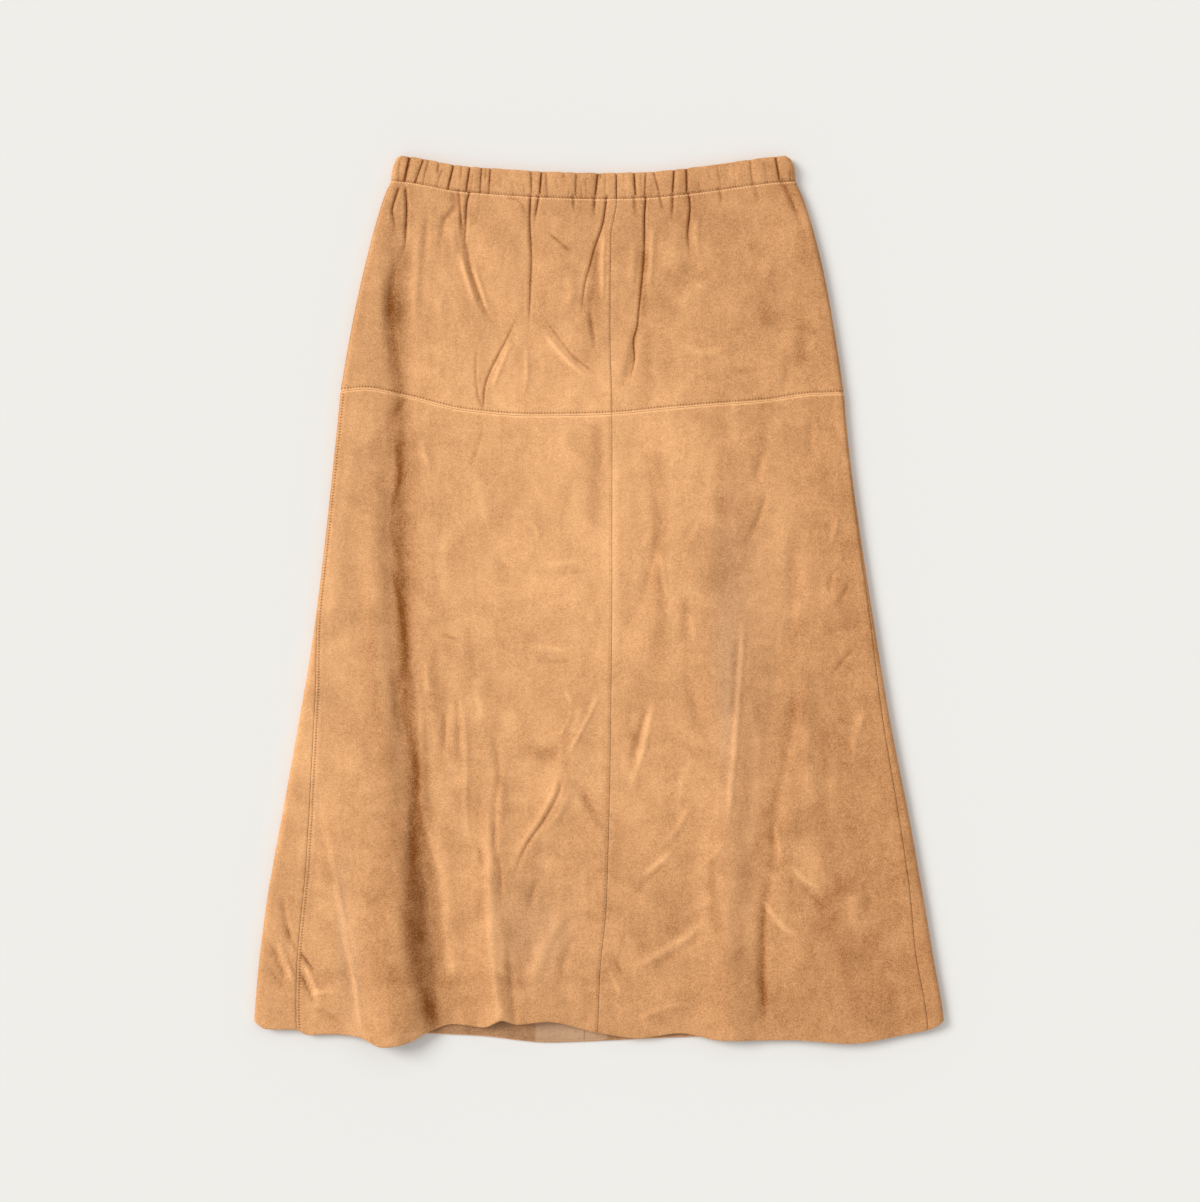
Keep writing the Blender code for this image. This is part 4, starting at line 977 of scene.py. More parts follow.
def tone_at(across, height, on_front):
    """How pale (above zero) or dark the nap is painted: its brushed tone, with painted light and shade of the folds,
    creases and gathers.
    """
    seen_across, flat_height = np.where(on_front, across, -across).ravel(), height.ravel()
    streaked = np.zeros(flat_height.shape)
    for streak in starmap(Streak, STREAKS):
        line = smooth_line(streak.line, STREAK_STEP)
        near, aside, share = beside_line(line, seen_across, flat_height, 2.2 * streak.half_width)
        fade = eased(share / streak.fade_in) * eased((1 - share) / streak.fade_out)
        streaked[near] += streak.tone * fade * bell(aside, streak.half_width)
    # Painted shade: darker towards the right, where the light falls off.
    tone = patches_at(PATCHES, across, height) + painted_falloff_to_the_right(across)
    tone += np.where(on_front, 1.0, BACK_STREAKS) * streaked.reshape(across.shape)
    # Crease and gather paleness and darkness: partly rubbed nap, partly painted highlight and shade.
    front_rub_and_shade = front_lift(across, height)[1]
    back_rub_and_shade = -creases_at(BACK_CREASES, across, height)[1]
    return tone + 1.4 * np.where(on_front, front_rub_and_shade, back_rub_and_shade)


def bareness(across, height, on_front):
    """Where the nap is rubbed away to a greyer face, from 0 to 1."""
    return np.where(on_front, patches_at(BARE_PATCHES, across, height), 0.0)


def with_hem(sections, span, shares, inside_shade=0.0):
    """Adds the turn at the hem and the suede turned up inside it, painted darker by the inside shade: painted shade
    inside the hem.
    """
    stand = sections.stand[-1:]
    shares = np.asarray(shares)[None, :]
    point, out, up = frame_at(*placed(shares, span, hem_line))
    for degrees in (30.0, 60.0, 90.0, 120.0, 150.0):
        sections.add(*turned(point, out, -up, HEM_TURN_RADIUS, degrees), stand * (1 - degrees / 180.0))
    rows = np.linspace(0.0, 1.0, 12)[:, None]

    def line_at(across, on_front):
        return hem_line(across, on_front) + rows * HEM_DEPTH

    along, height = placed(np.broadcast_to(shares, (len(rows), shares.shape[1])), span, line_at)
    point, out, up = frame_at(along, height)
    across, on_front, _ = across_at(along, height)
    middle, way_out = turned(point, out, up, HEM_TURN_RADIUS, 180.0)
    inwards = np.minimum(across - HEM_PATCH[0], HEM_PATCH[1] - across)
    bare = np.where(on_front, 0.0, eased(inwards / 0.8 + 0.5))
    row = np.broadcast_to(bell(rows * HEM_DEPTH - HEM_ROW, ROW_WIDTH), across.shape)
    # The turned-up suede is painted darker: painted shade inside the hem.
    sections.add(middle, way_out, -0.15 * row, inside_shade + 0.35 * bare, row, across, 0.45 + 0.5 * bare)


def turned(point, out, way, radius, degrees):
    """A wall that has gone that far round a turn to its inside: its middle and the way out of it."""
    angle = math.radians(degrees)
    middle = point + way * radius * math.sin(angle) - out * radius * (1 - math.cos(angle))
    return middle, unit(out * math.cos(angle) + way * math.sin(angle))


# ---------------------------------------------------------------------------------------------------------------
# Where each piece is on the tube.


def left_front_span(height):
    return left_wrap(height) + HALF_GAP, front_middle(height) - HALF_GAP


def right_front_span(height):
    """From the right-hand seam to the middle one."""
    return girth(height) - right_wrap(height) - HALF_GAP, front_middle(height) + HALF_GAP


def whole_back_span(height):
    """From the right-hand seam, over the back, to the left-hand one."""
    return -girth(height) - right_wrap(height) + HALF_GAP, left_wrap(height) - HALF_GAP


def left_back_span(height):
    return back_middle(height) + HALF_GAP, left_wrap(height) - HALF_GAP


def right_back_span(height):
    return -girth(height) - right_wrap(height) + HALF_GAP, back_middle(height) - HALF_GAP


CASING_SIDE_SEAM = QUARTER + 2.0  # behind each side fold


def left_casing_span(height):
    return np.full(np.shape(height), -CASING_SIDE_SEAM), front_middle(height) - HALF_GAP


def right_casing_span(height):
    return girth(height) + CASING_SIDE_SEAM, front_middle(height) + HALF_GAP


def back_casing_span(height):
    return -girth(height) + CASING_SIDE_SEAM + SEAM_GAP, np.full(np.shape(height), -CASING_SIDE_SEAM - SEAM_GAP)


def yoke_top(across, _on_front):
    return casing_seam(across) - HALF_GAP


def yoke_bottom(across, on_front):
    return yoke_seam(across, on_front) + HALF_GAP


def lower_top(across, on_front):
    return yoke_seam(across, on_front) - HALF_GAP


FOLD_CELL = 2.2  # faces round a side fold


def back_shares(span, height, cell, wraps):
    """Shares of the way over the back, close together round each side fold and on the front."""
    start, end = (float(value) for value in span(np.array(height)))
    low, high = start, end
    before, after = [], []
    if "right" in wraps:
        low = start + float(right_wrap(height)) + 2 * QUARTER
        before = [start + spread(low - start, FOLD_CELL, True, False) * (low - start)]
    if "left" in wraps:
        high = end - float(left_wrap(height)) - 2 * QUARTER
        after = [(high + spread(end - high, FOLD_CELL, False, True) * (end - high))[1:]]
    middle = np.linspace(low, high, max(int((high - low) / cell), 2) + 1)
    places = np.concatenate((*before, middle[1:] if before else middle, *after))
    return (places - start) / (end - start)


# ---------------------------------------------------------------------------------------------------------------
# Settings.


def size_setting(name, description, default, least):
    return bpy.props.FloatProperty(name=name, description=description, default=default, min=least, unit="LENGTH")


def colour_setting(name, description, default):
    return bpy.props.FloatVectorProperty(
        name=name, description=description, default=default, subtype="COLOR", min=0, max=1
    )


class SkirtSizes(bpy.types.PropertyGroup):
    """How finely the pieces are made and stitched"""

    front_cell: size_setting("Front cell", "Size of a face of the front panels", 0.0020, 0.001)
    yoke_cell: size_setting("Yoke cell", "Size of a face of the front yoke", 0.00105, 0.001)
    back_cell: size_setting("Back cell", "Size of a face of the back", 0.0032, 0.002)
    band_cell: size_setting("Casing cell", "Size of a face of the casing", 0.0006, 0.0004)
    stitch_pitch: size_setting("Stitch pitch", "From one stitch to the next", 0.0026, 0.001)
    stitch_length: size_setting("Stitch length", "Length of one stitch", 0.0018, 0.0005)
    thread: size_setting("Thread", "Thickness of the thread", 0.00036, 0.0001)


class SkirtColours(bpy.types.PropertyGroup):
    """Colours of the suede, the thread and the elastic"""

    # The tone runs between these two colours, and with it the painted light and shade.
    nap_dark: colour_setting("Nap, dark", "Suede brushed dark", (0.36, 0.146, 0.048))
    nap_pale: colour_setting("Nap, pale", "Suede brushed pale", (0.98, 0.524, 0.240))
    flesh_dark: colour_setting("Inside, dark", "Inner face, darker fibres", (0.36, 0.22, 0.125))
    flesh_pale: colour_setting("Inside, pale", "Inner face, paler fibres", (0.66, 0.47, 0.31))
    bare: colour_setting("Bare", "Outer face rubbed bare", (0.60, 0.375, 0.225))
    thread: colour_setting("Thread", "Sewing thread", (0.58, 0.30, 0.13))
    elastic: colour_setting("Elastic", "Woven elastic", (0.74, 0.70, 0.62))


class SkirtStage(bpy.types.PropertyGroup):
    """Floor, lights and camera"""

    floor: colour_setting("Floor", "Colour of the floor", (0.86, 0.852, 0.825))
    key_strength: bpy.props.FloatProperty(
        name="Key light", description="Strength of the soft light from the upper left", default=1.95, min=0.0
    )
    key_width: bpy.props.FloatProperty(
        name="Key width", description="How wide the key light looks", default=math.radians(28.0), subtype="ANGLE"
    )
    ambient: bpy.props.FloatProperty(
        name="Ambient", description="Strength of the light from all round", default=0.62, min=0.0
    )
    view_height: size_setting("View", "Height of the camera's frame at the skirt", 1.0818, 0.1)
    lens: bpy.props.FloatProperty(name="Lens", description="Focal length of the camera in mm", default=85.0, min=10.0)


# ---------------------------------------------------------------------------------------------------------------
# Materials.


def new_group(name, inputs, outputs):
    """A shader node group with named sockets, and its two ends."""
    group = bpy.data.node_groups.new(name, "ShaderNodeTree")
    for socket, kind, default in inputs:
        made = group.interface.new_socket(socket, in_out="INPUT", socket_type=kind)
        if default is not None:
            made.default_value = default
    for socket, kind in outputs:
        group.interface.new_socket(socket, in_out="OUTPUT", socket_type=kind)
    return group, group.nodes.new("NodeGroupInput"), group.nodes.new("NodeGroupOutput")


def feed(tree, slot, value):
    """Links a socket to a slot, or sets the slot to a number or a colour."""
    if isinstance(value, bpy.types.NodeSocket):
        tree.links.new(value, slot)
    else:
        slot.default_value = value


def set_sockets(node, **values):
    """Sets a node's inputs by name, with spaces given as underscores."""
    for name, value in values.items():
        node.inputs[name.replace("_", " ")].default_value = value


def math_node(tree, operation, *values):
    """A maths node fed with sockets or numbers; its result."""
    node = tree.nodes.new("ShaderNodeMath")
    node.operation = operation
    for slot, value in zip(node.inputs, values):
        feed(tree, slot, value)
    return node.outputs[0]


def mixed(tree, factor, first, second, blend="MIX", clamped=True):
    """A mix of two colours; its result."""
    node = tree.nodes.new("ShaderNodeMix")
    node.data_type = "RGBA"
    node.blend_type = blend
    node.clamp_factor = clamped
    for slot, value in ((0, factor), (6, first), (7, second)):
        feed(tree, node.inputs[slot], value)
    return node.outputs[2]


def noise_node(tree, vector, scale, detail=2.0, distortion=0.0, roughness=0.5):
    node = tree.nodes.new("ShaderNodeTexNoise")
    set_sockets(node, Scale=scale, Detail=detail, Roughness=roughness, Distortion=distortion)
    tree.links.new(vector, node.inputs["Vector"])
    return node.outputs["Fac"]


def mapped(tree, vector, scale, angle):
    node = tree.nodes.new("ShaderNodeMapping")
    set_sockets(node, Scale=scale, Rotation=(0.0, 0.0, math.radians(angle)))
    tree.links.new(vector, node.inputs["Vector"])
    return node.outputs["Vector"]


def brushed_nap_group():
    """Suede: patches brushed pale and dark, strokes, fine grain, the pricked rows of its stitching, and the given
    tone, which carries painted light and shade.
    """
    group, start, end = new_group(
        "Brushed nap",
        (
            ("Vector", "NodeSocketVector", None),
            ("Dark", "NodeSocketColor", None),
            ("Pale", "NodeSocketColor", None),
            ("Tone", "NodeSocketFloat", 0.0),
            ("Row", "NodeSocketFloat", 0.0),
            ("Run", "NodeSocketFloat", 0.0),
            ("Patches", "NodeSocketFloat", 0.3),
            ("Grain", "NodeSocketFloat", 0.3),
            ("Pitch", "NodeSocketFloat", 2.6),
            ("Bare", "NodeSocketColor", None),
            ("Bareness", "NodeSocketFloat", 0.0),
        ),
        (("Color", "NodeSocketColor"), ("Roughness", "NodeSocketFloat"), ("Height", "NodeSocketFloat")),
    )
    source = start.outputs
    vector = source["Vector"]
    broad = noise_node(group, vector, 22.0, 2.0, 0.8)
    cloudy = noise_node(group, vector, 40.0, 4.0, 1.4, 0.62)
    strokes = noise_node(group, mapped(group, vector, (100.0, 26.0, 100.0), 10.0), 1.0, 3.0, 1.2, 0.6)
    flecks = noise_node(group, vector, 330.0, 2.0, 0.6, 0.65)
    grain = noise_node(group, vector, 900.0, 2.0, 0.4, 0.7)

    def centred(value, amount):
        return math_node(group, "MULTIPLY", math_node(group, "SUBTRACT", value, 0.5), amount)

    def times(value, amount):
        return math_node(group, "MULTIPLY", value, amount)

    def total(first, *others):
        for other in others:
            first = math_node(group, "ADD", first, other)
        return first

    patches = times(total(centred(broad, 0.8), centred(cloudy, 0.6), centred(strokes, 0.4)), source["Patches"])
    fine = times(total(centred(flecks, 1.1), centred(grain, 3.9)), source["Grain"])
    turn = math_node(group, "DIVIDE", times(source["Run"], 2 * math.pi), source["Pitch"])
    prick = math_node(group, "POWER", total(times(math_node(group, "SINE", turn), 0.5), 0.5), 3.0)
    pricked = times(prick, source["Row"])
    # A row below zero paints pale dashes in place of dark pricks: painted highlight on the puckers between stitches.
    shade = total(patches, fine, source["Tone"], times(pricked, -1.1), times(source["Row"], -0.12))
    shade = total(times(shade, 0.66), 0.5)
    shade = math_node(group, "MINIMUM", math_node(group, "MAXIMUM", shade, -0.2), 1.1)
    brushed = mixed(group, shade, source["Dark"], source["Pale"], clamped=False)
    rubbed = mixed(group, 1.0, source["Bare"], total(times(shade, 0.5), 0.75), "MULTIPLY")
    for name, result in (
        ("Color", mixed(group, source["Bareness"], brushed, rubbed)),
        ("Roughness", total(times(shade, -0.1), 0.98)),
        ("Height", total(times(grain, 0.5), times(flecks, 0.6), times(cloudy, 0.5), times(pricked, -1.6))),
    ):
        group.links.new(result, end.inputs[name])
    return group


def new_material(name):
    material = bpy.data.materials.new(name)
    material.use_nodes = True
    tree = material.node_tree
    return material, tree, tree.nodes["Principled BSDF"]


def attribute_node(tree, name):
    node = tree.nodes.new("ShaderNodeAttribute")
    node.attribute_name = name
    return node.outputs["Fac"]


def suede_material(name, group, dark, pale, bare, patches, bump):
    """One face of the suede."""
    material, tree, shader = new_material(name)
    coordinates = tree.nodes.new("ShaderNodeTexCoord")
    nap = tree.nodes.new("ShaderNodeGroup")
    nap.node_tree = group
    pitch = bpy.context.scene.skirt_sizes.stitch_pitch / METRES
    set_sockets(nap, Dark=(*dark, 1.0), Pale=(*pale, 1.0), Bare=(*bare, 1.0), Patches=patches, Grain=0.5, Pitch=pitch)
    tree.links.new(coordinates.outputs["Object"], nap.inputs["Vector"])
    for attribute, socket in (("tone", "Tone"), ("row", "Row"), ("run", "Run"), ("bare", "Bareness")):
        tree.links.new(attribute_node(tree, attribute), nap.inputs[socket])
    relief = tree.nodes.new("ShaderNodeBump")
    set_sockets(relief, Strength=bump, Distance=0.0004)
    tree.links.new(nap.outputs["Height"], relief.inputs["Height"])
    tree.links.new(nap.outputs["Color"], shader.inputs["Base Color"])
    tree.links.new(nap.outputs["Roughness"], shader.inputs["Roughness"])
    tree.links.new(relief.outputs["Normal"], shader.inputs["Normal"])
    shader.inputs["Specular IOR Level"].default_value = 0.12
    shader.inputs["Sheen Weight"].default_value = 0.1
    shader.inputs["Sheen Roughness"].default_value = 0.55
    shader.inputs["Sheen Tint"].default_value = (1.0, 0.80, 0.60, 1.0)
    return material


def two_toned(name, pattern, roughness, dark, pale):
    """A material whose colour goes from dark to pale with a pattern, which is made for its node tree."""
    material, tree, shader = new_material(name)
    place = tree.nodes.new("ShaderNodeTexCoord").outputs["Object"]
    mix = mixed(tree, pattern(tree, place), (*dark, 1.0), (*pale, 1.0))
    tree.links.new(mix, shader.inputs["Base Color"])
    shader.inputs["Roughness"].default_value = roughness
    return material


def thread_material(colours):
    """Twisted sewing thread."""
    dark, pale = [0.7 * c for c in colours.thread], [min(1.25 * c, 1.0) for c in colours.thread]
    return two_toned("sewing thread", lambda tree, place: noise_node(tree, place, 2600.0, 1.0), 0.6, dark, pale)


def elastic_material(colours):
    """Woven elastic, ribbed across."""

    def ribs(tree, place):
        wave = tree.nodes.new("ShaderNodeTexWave")
        set_sockets(wave, Scale=260.0, Distortion=0.6)
        tree.links.new(place, wave.inputs["Vector"])
        return wave.outputs["Fac"]

    return two_toned("woven elastic", ribs, 0.75, [0.75 * c for c in colours.elastic], colours.elastic)


def suede():
    """The two faces of the suede, made once."""
    found = [bpy.data.materials.get(name) for name in ("suede nap", "suede inside")]
    if None not in found:
        return found
    colours = bpy.context.scene.skirt_colours
    group = brushed_nap_group()
    return [
        suede_material("suede nap", group, colours.nap_dark, colours.nap_pale, colours.bare, 1.0, 0.45),
        suede_material("suede inside", group, colours.flesh_dark, colours.flesh_pale, colours.bare, 0.8, 0.5),
    ]


# ---------------------------------------------------------------------------------------------------------------
# Pieces.


def cloth(name, sections):
    """A cloth piece that stands for its solid."""
    piece = wall(name, sections, suede())
    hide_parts(name.removesuffix("_cloth"))
    return piece


def cut_piece(name, span, shares, rows, lines, seams, hem_shade=None):
    """One cut piece between two lines across the tube, with the seams of its two sides, its top and its bottom."""
    sections = Sections()
    sections.add(*laid_out(span, shares, rows, *lines, dict(zip(("start", "end", "top", "bottom"), seams))))
    if hem_shade is not None:
        with_hem(sections, span, shares, hem_shade)
    cloth(name + "_cloth", sections)


class SKIRT_OT_lower_front(bpy.types.Operator):
    """Makes the two flared front panels, with their hems turned up"""

    bl_idname = "skirt.lower_front"
    bl_label = "Lower front"

    def execute(self, context):
        cell = context.scene.skirt_sizes.front_cell / METRES
        rows = spread(555.0, cell, True, False)
        shares = spread(262.0, cell)
        for name, span, sides, flat, area in (
            ("skirt_front_left", left_front_span, ("left side, front", "left of the middle"), (0.275, 0.62), 0.152),
            ("skirt_front_right", right_front_span, ("right side, front", "right of the middle"), (0.30, 0.62), 0.158),
        ):
            seams = (*sides, "below the yoke seam", "hem")
            cut_piece(name, span, shares, rows, (lower_top, hem_line), seams, -0.1)
        return {"FINISHED"}


class SKIRT_OT_lower_back(bpy.types.Operator):
    """Makes the two flared back panels, which come round the side folds on to the front"""

    bl_idname = "skirt.lower_back"
    bl_label = "Lower back"

    def execute(self, context):
        cell = context.scene.skirt_sizes.back_cell / METRES
        rows = spread(565.0, cell, True, False)
        for name, span, wraps, sides, flat, area in (
            ("skirt_back_left", left_back_span, "left", ("left of the middle", "side, back"), (0.345, 0.62), 0.175),
            ("skirt_back_right", right_back_span, "right", ("side, back", "right of the middle"), (0.34, 0.62), 0.170),
        ):
            shares = back_shares(span, -384.0, cell, (wraps,))
            seams = (*sides, "below the yoke seam")
            # The back's turned-up hem is painted dark: painted shade under the front's lifted hem.
            cut_piece(name, span, shares, rows, (lower_top, hem_line), seams, -0.6)
        return {"FINISHED"}


class SKIRT_OT_yoke(bpy.types.Operator):
    """Makes the three pieces of the yoke"""

    bl_idname = "skirt.yoke"
    bl_label = "Yoke"

    def execute(self, context):
        sizes = context.scene.skirt_sizes
        front_cell, back_cell = sizes.yoke_cell / METRES, sizes.back_cell / METRES
        front_shares = spread(215.0, front_cell)
        both_shares = back_shares(whole_back_span, 270.0, back_cell, ("left", "right"))
        left, right = "middle of the yoke, left", "middle of the yoke, right"
        for name, span, shares, cell, end, flat, area in (
            ("yoke_front_left", left_front_span, front_shares, front_cell, left, (0.245, 0.21), 0.043),
            ("yoke_front_right", right_front_span, front_shares, front_cell, right, (0.21, 0.21), 0.037),
            ("yoke_back", whole_back_span, both_shares, back_cell, "side, back", (0.46, 0.22), 0.082),
        ):
            seams = ("side, back", end, "casing, below", "above the yoke seam")
            cut_piece(name, span, shares, spread(196.0, cell), (yoke_top, yoke_bottom), seams)
        return {"FINISHED"}


def gather_dips(gathers, across, down):
    """How deep the casing is drawn in, from 0 to 1, at a share of the way down from its top edge."""
    left = np.ones(np.broadcast(across, down).shape)
    for gather in starmap(Gather, gathers):
        line = gather.top + (gather.bottom - gather.top) * np.clip(down, 0.0, 1.0)
        lasts = eased((down - gather.starts) / 0.16) if gather.starts > 0 else 1.0
        lasts = lasts * (eased((gather.ends - down) / 0.2) if gather.ends < 1 else 1.0)
        left = left * (1 - gather.depth * lasts * np.exp(-np.abs(across - line) / (0.75 * gather.half_width)))
    return 1 - left


def casing_sections(span, shares, on_front):
    """Sections of the casing: up its outer wall, over the elastic and down its inner wall."""
    turn_height = BAND_HEIGHT - BAND_TURN
    shares = np.asarray(shares)[None, :]
    gathers = FRONT_GATHERS if on_front else BACK_GATHERS

    def frames(rows):
        rows = np.asarray(rows)[:, None]

        def line_at(across, _on_front):
            return casing_seam(across) + HALF_GAP + rows * (turn_height - HALF_GAP)

        return frame_at(*placed(np.broadcast_to(shares, (len(rows), shares.shape[1])), span, line_at))

    def relief(point, out, up_share):
        """How far the wall stands out, how far its outer skin is pressed in, and its tone, with painted shade down in
        the gathers and towards the right.
        """
        across = point[..., 0]
        dips = gather_dips(gathers, across, 1 - up_share)
        facing = out[..., 2] if on_front else -out[..., 2]
        flat = eased((facing - 0.9) / 0.09)
        middle = bell(across - centre_front(385.0), 1.0) if on_front else 0.0
        dips = np.maximum(dips * flat, 0.7 * middle)
        swell = 0.8 + 0.35 * unevenness(across, np.zeros(across.shape), 11.0, 21)
        lift = BULGE_HEIGHT * swell * (1 - dips) * np.sin(math.pi * np.clip(0.06 + 0.74 * up_share, 0, 1)) * flat
        # Painted shade down in the gathers and towards the right, where the light falls off.
        tone = CASING_TONE + painted_falloff_to_the_right(across) + GATHER_SHADE * dips**2
        none = np.zeros(dips.shape)
        return (lift, none, tone) if on_front else (none, -GATHER_CUT * dips, tone)

    sections = Sections()
    rows = np.concatenate((np.array(EDGE_STEPS[:6]) / turn_height, np.linspace(3.2 / turn_height, 1.0, 22)))
    point, out, _ = frames(rows)
    up_share = rows[:, None] * turn_height / BAND_HEIGHT
    lift, pressed, tone = relief(point, out, up_share)
    ditch, edge_tone, near = seam_relief(SEAMS["casing, above"], rows[:, None] * turn_height)
    sections.add(point + out * lift[..., None], out, pressed + ditch, tone + edge_tone, near, point[..., 0])
    point, out, up = frames([1.0])
    lift, pressed, tone = relief(point, out, turn_height / BAND_HEIGHT)
    dips = gather_dips(gathers, point[..., 0], 0.0)
    for degrees in np.arange(20.0, 180.0, 20.0):
        fade = 0.5 + 0.5 * math.cos(math.radians(degrees))
        middle, way_out = turned(point, out, up, CASING_STEP, degrees)
        lower = 0.35 * dips * math.sin(math.radians(degrees))
        middle = middle + way_out * (lift * fade**2)[..., None]
        sections.add(middle, way_out, (pressed - lower) * (0.3 + 0.7 * fade), tone * fade)
    point, out, up = frames(np.linspace(1.0, 0.0, 8))
    sections.add(*turned(point, out, up, CASING_STEP, 180.0))
    return sections


class SKIRT_OT_casing(bpy.types.Operator):
    """Makes the gathered casing round the waist, and finishes its elastic"""

    bl_idname = "skirt.casing"
    bl_label = "Casing"

    def execute(self, context):
        cell = context.scene.skirt_sizes.band_cell / METRES
        for name, span, shares, on_front, flat in (
            ("waistband_front_left", left_casing_span, spread(205.0, cell), True, (0.245, 0.055)),
            ("waistband_front_right", right_casing_span, spread(170.0, cell), True, (0.205, 0.055)),
            ("waistband_back", back_casing_span, spread(345.0, 2 * cell), False, (0.40, 0.055)),
        ):
            cloth(name + "_cloth", casing_sections(span, shares, on_front))
        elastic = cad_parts["elastic"]
        elastic.data.materials.clear()
        elastic.data.materials.append(elastic_material(context.scene.skirt_colours))
        return {"FINISHED"}


# ---------------------------------------------------------------------------------------------------------------
# Stitching.

STITCH_SIDES = 6
STITCH_RINGS = 5
ROW_STEP = 0.8  # between two points of a row's path


def stitch_row(name, path, out):
    """A row of stitches along a path, each a short round of thread whose ends go down into the suede."""
    sizes = bpy.context.scene.skirt_sizes
    pitch, length, thickness = (size / METRES for size in (sizes.stitch_pitch, sizes.stitch_length, sizes.thread))
    steps = np.linalg.norm(np.diff(path, axis=0), axis=1)
    run = np.concatenate(([0.0], np.cumsum(steps)))
    count = int((run[-1] - length) / pitch)
    starts = 0.5 * (run[-1] - (count - 1) * pitch - length) + pitch * np.arange(count)
    shares = np.linspace(0.0, 1.0, STITCH_RINGS)
    places = starts[:, None] + shares * length

    def along(values):
        return np.stack([np.interp(places, run, values[:, k]) for k in range(3)], axis=-1)

    middle, way_out = along(path), unit(along(out))
    forwards = unit(np.gradient(middle, axis=1))
    sideways = unit(np.cross(forwards, way_out))
    arch = np.sin(math.pi * shares) ** 0.7
    middle = middle + way_out * (thickness * (-0.35 + 0.75 * arch))[None, :, None]
    radius = thickness / 2 * np.array([0.55, 0.95, 1.0, 0.95, 0.55])
    turn = np.linspace(0, 2 * math.pi, STITCH_SIDES, endpoint=False)
    ring = np.cos(turn)[:, None] * sideways[:, :, None, :] + np.sin(turn)[:, None] * way_out[:, :, None, :]
    corners = middle[:, :, None, :] + radius[None, :, None, None] * ring
    one = np.arange(STITCH_RINGS * STITCH_SIDES).reshape(STITCH_RINGS, STITCH_SIDES)
    after = np.roll(one, -1, axis=1)
    quads = np.stack((one[:-1], after[:-1], after[1:], one[1:]), axis=-1).reshape(-1, 4)
    caps = [one[0][[3, 2, 1, 0]], one[0][[0, 5, 4, 3]], one[-1][[0, 1, 2, 3]], one[-1][[3, 4, 5, 0]]]
    quads = np.vstack((quads, caps))
    faces = (quads[None] + (np.arange(count) * one.size)[:, None, None]).reshape(-1, 4)
    piece = mesh_piece(name, corners.reshape(-1, 3) * METRES, faces, [thread()])


def thread():
    return bpy.data.materials.get("sewing thread") or thread_material(bpy.context.scene.skirt_colours)


def row_across(low, high, line, gap, lift, on_front=True):
    """A path over the outer face, that far above a seam that runs across the skirt, and the way out of it."""
    across = np.arange(low, high, ROW_STEP)
    height = line(across) + gap + HALF_GAP
    point, out, _ = frame_at(along_at(across, height, on_front), height)
    return point + out * (HALF_WALL + lift), out


def row_down(top, bottom, line, gap, lift):
    """A path over the outer face, that far round the tube from a seam that runs down, and the way out of it."""
    height = np.arange(top, bottom, -ROW_STEP)
    point, out, _ = frame_at(line(height) + gap + math.copysign(HALF_GAP, gap), height)
    return point + out * (HALF_WALL + lift), out


class SKIRT_OT_stitching(bpy.types.Operator):
    """Makes the rows of stitching along the seams"""

    bl_idname = "skirt.stitching"
    bl_label = "Stitching"

    def execute(self, context):
        for name, (path, out) in (
            ("stitches_yoke_front_left", row_across(-222.0, 8.0, front_yoke_seam, 2.3, 0.05)),
            ("stitches_yoke_front_right", row_across(14.0, 212.0, front_yoke_seam, 2.3, 0.05)),
            ("stitches_yoke_back", row_across(-222.0, 212.0, back_yoke_seam, 2.3, -0.35, on_front=False)),
            ("stitches_middle_near", row_down(164.0, -386.0, front_middle, -1.8, 0.02)),
            ("stitches_middle_yoke", row_down(358.0, 172.0, front_middle, -0.5, -0.25)),
            ("stitches_left_side", row_down(60.0, -325.0, left_wrap, 2.7, 0.02)),
            ("stitches_back_middle", row_down(178.0, -388.0, back_middle, 1.8, -0.35)),
            ("stitches_casing_front", row_across(-180.0, 172.0, casing_seam, 0.9, -0.1)),
            ("stitches_casing_back", row_across(-180.0, 172.0, casing_seam, 0.9, -0.35, on_front=False)),
        ):
            stitch_row(name, path, out)
        across = np.arange(-296.0, 296.0, ROW_STEP)
        height = back_hem(across) + HEM_TURN + 1.4
        point, out, up = frame_at(along_at(across, height, on_front=False), height)
        inside, way_out = turned(point, out, up, HEM_TURN_RADIUS, 180.0)
        stitch_row("stitches_hem_back", inside + way_out * (HALF_WALL + 0.02), way_out)
        return {"FINISHED"}


# ---------------------------------------------------------------------------------------------------------------
# Stage.


SENSOR_WIDTH = 36.0  # of the camera, in mm
VIEW_CENTRE = Vector((0.0009, -0.0005, 0.006))


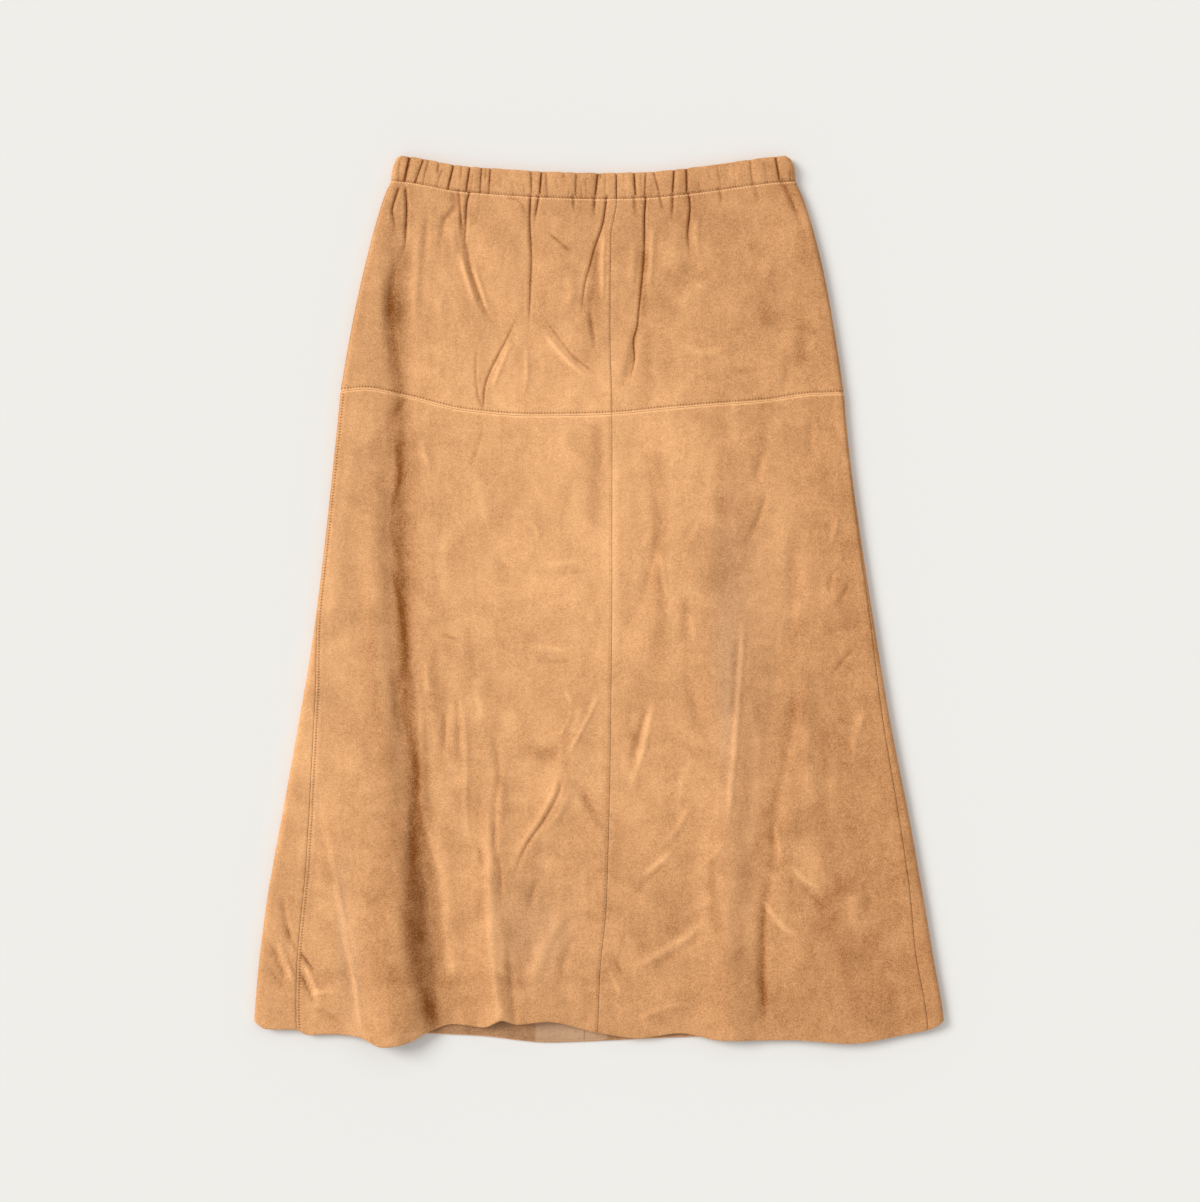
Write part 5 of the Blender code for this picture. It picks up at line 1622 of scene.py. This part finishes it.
class SKIRT_OT_stage(bpy.types.Operator):
    """Makes the floor, the lights and the camera"""

    bl_idname = "skirt.stage"
    bl_label = "Stage"

    def execute(self, context):
        stage = context.scene.skirt_stage
        bpy.ops.object.select_all(action="DESELECT")
        bpy.ops.mesh.primitive_plane_add(size=8.0, location=(0.0, 0.0, -0.0002))
        floor = context.object
        floor.name = "floor"
        material, _, shader = new_material("pale floor")
        shader.inputs["Base Color"].default_value = (*stage.floor, 1.0)
        shader.inputs["Roughness"].default_value = 0.9
        shader.inputs["Specular IOR Level"].default_value = 0.1
        floor.data.materials.append(material)

        bpy.ops.object.light_add(type="SUN", location=(-2.05, 0.95, 1.8))
        key = context.object
        key.name = "key light"
        key.data.angle = stage.key_width
        key.data.energy = stage.key_strength
        key.rotation_euler = (-key.location).to_track_quat("-Z", "Y").to_euler()

        world = bpy.data.worlds.new("studio")
        world.use_nodes = True
        set_sockets(world.node_tree.nodes["Background"], Color=(1.0, 0.995, 0.985, 1.0), Strength=stage.ambient)
        context.scene.world = world

        distance = stage.view_height * stage.lens / SENSOR_WIDTH
        bpy.ops.object.camera_add(location=VIEW_CENTRE + Vector((0.0, 0.0, distance)), rotation=(0.0, 0.0, 0.0))
        camera = context.object
        camera.name = "camera"
        camera.data.lens = stage.lens
        camera.data.clip_end = 50.0
        context.scene.camera = camera
        context.scene.view_settings.view_transform = "Standard"
        return {"FINISHED"}


class SKIRT_PT_panel(bpy.types.Panel):
    """Buttons and settings of the skirt"""

    bl_idname = "SKIRT_PT_panel"
    bl_label = "Suede skirt"
    bl_space_type = "VIEW_3D"
    bl_region_type = "UI"
    bl_category = "Skirt"

    def draw(self, context):
        for operator in OPERATORS:
            self.layout.operator(operator.bl_idname)
        for group in (context.scene.skirt_sizes, context.scene.skirt_colours, context.scene.skirt_stage):
            box = self.layout.box()
            for name in group.bl_rna.properties.keys():
                if name not in ("rna_type", "name"):
                    box.prop(group, name)


OPERATORS = (
    SKIRT_OT_lower_front,
    SKIRT_OT_lower_back,
    SKIRT_OT_yoke,
    SKIRT_OT_casing,
    SKIRT_OT_stitching,
    SKIRT_OT_stage,
)
SETTINGS = {"skirt_sizes": SkirtSizes, "skirt_colours": SkirtColours, "skirt_stage": SkirtStage}


def register():
    for group in SETTINGS.values():
        bpy.utils.register_class(group)
    for name, group in SETTINGS.items():
        setattr(bpy.types.Scene, name, bpy.props.PointerProperty(type=group))
    for operator in OPERATORS:
        bpy.utils.register_class(operator)
    bpy.utils.register_class(SKIRT_PT_panel)


def unregister():
    bpy.utils.unregister_class(SKIRT_PT_panel)
    for operator in reversed(OPERATORS):
        bpy.utils.unregister_class(operator)
    for name, group in SETTINGS.items():
        delattr(bpy.types.Scene, name)
        bpy.utils.unregister_class(group)


def main():
    register()
    bpy.ops.skirt.stage()
    bpy.ops.skirt.lower_front()
    bpy.ops.skirt.lower_back()
    bpy.ops.skirt.yoke()
    bpy.ops.skirt.casing()
    bpy.ops.skirt.stitching()


if __name__ == "__main__":
    main()
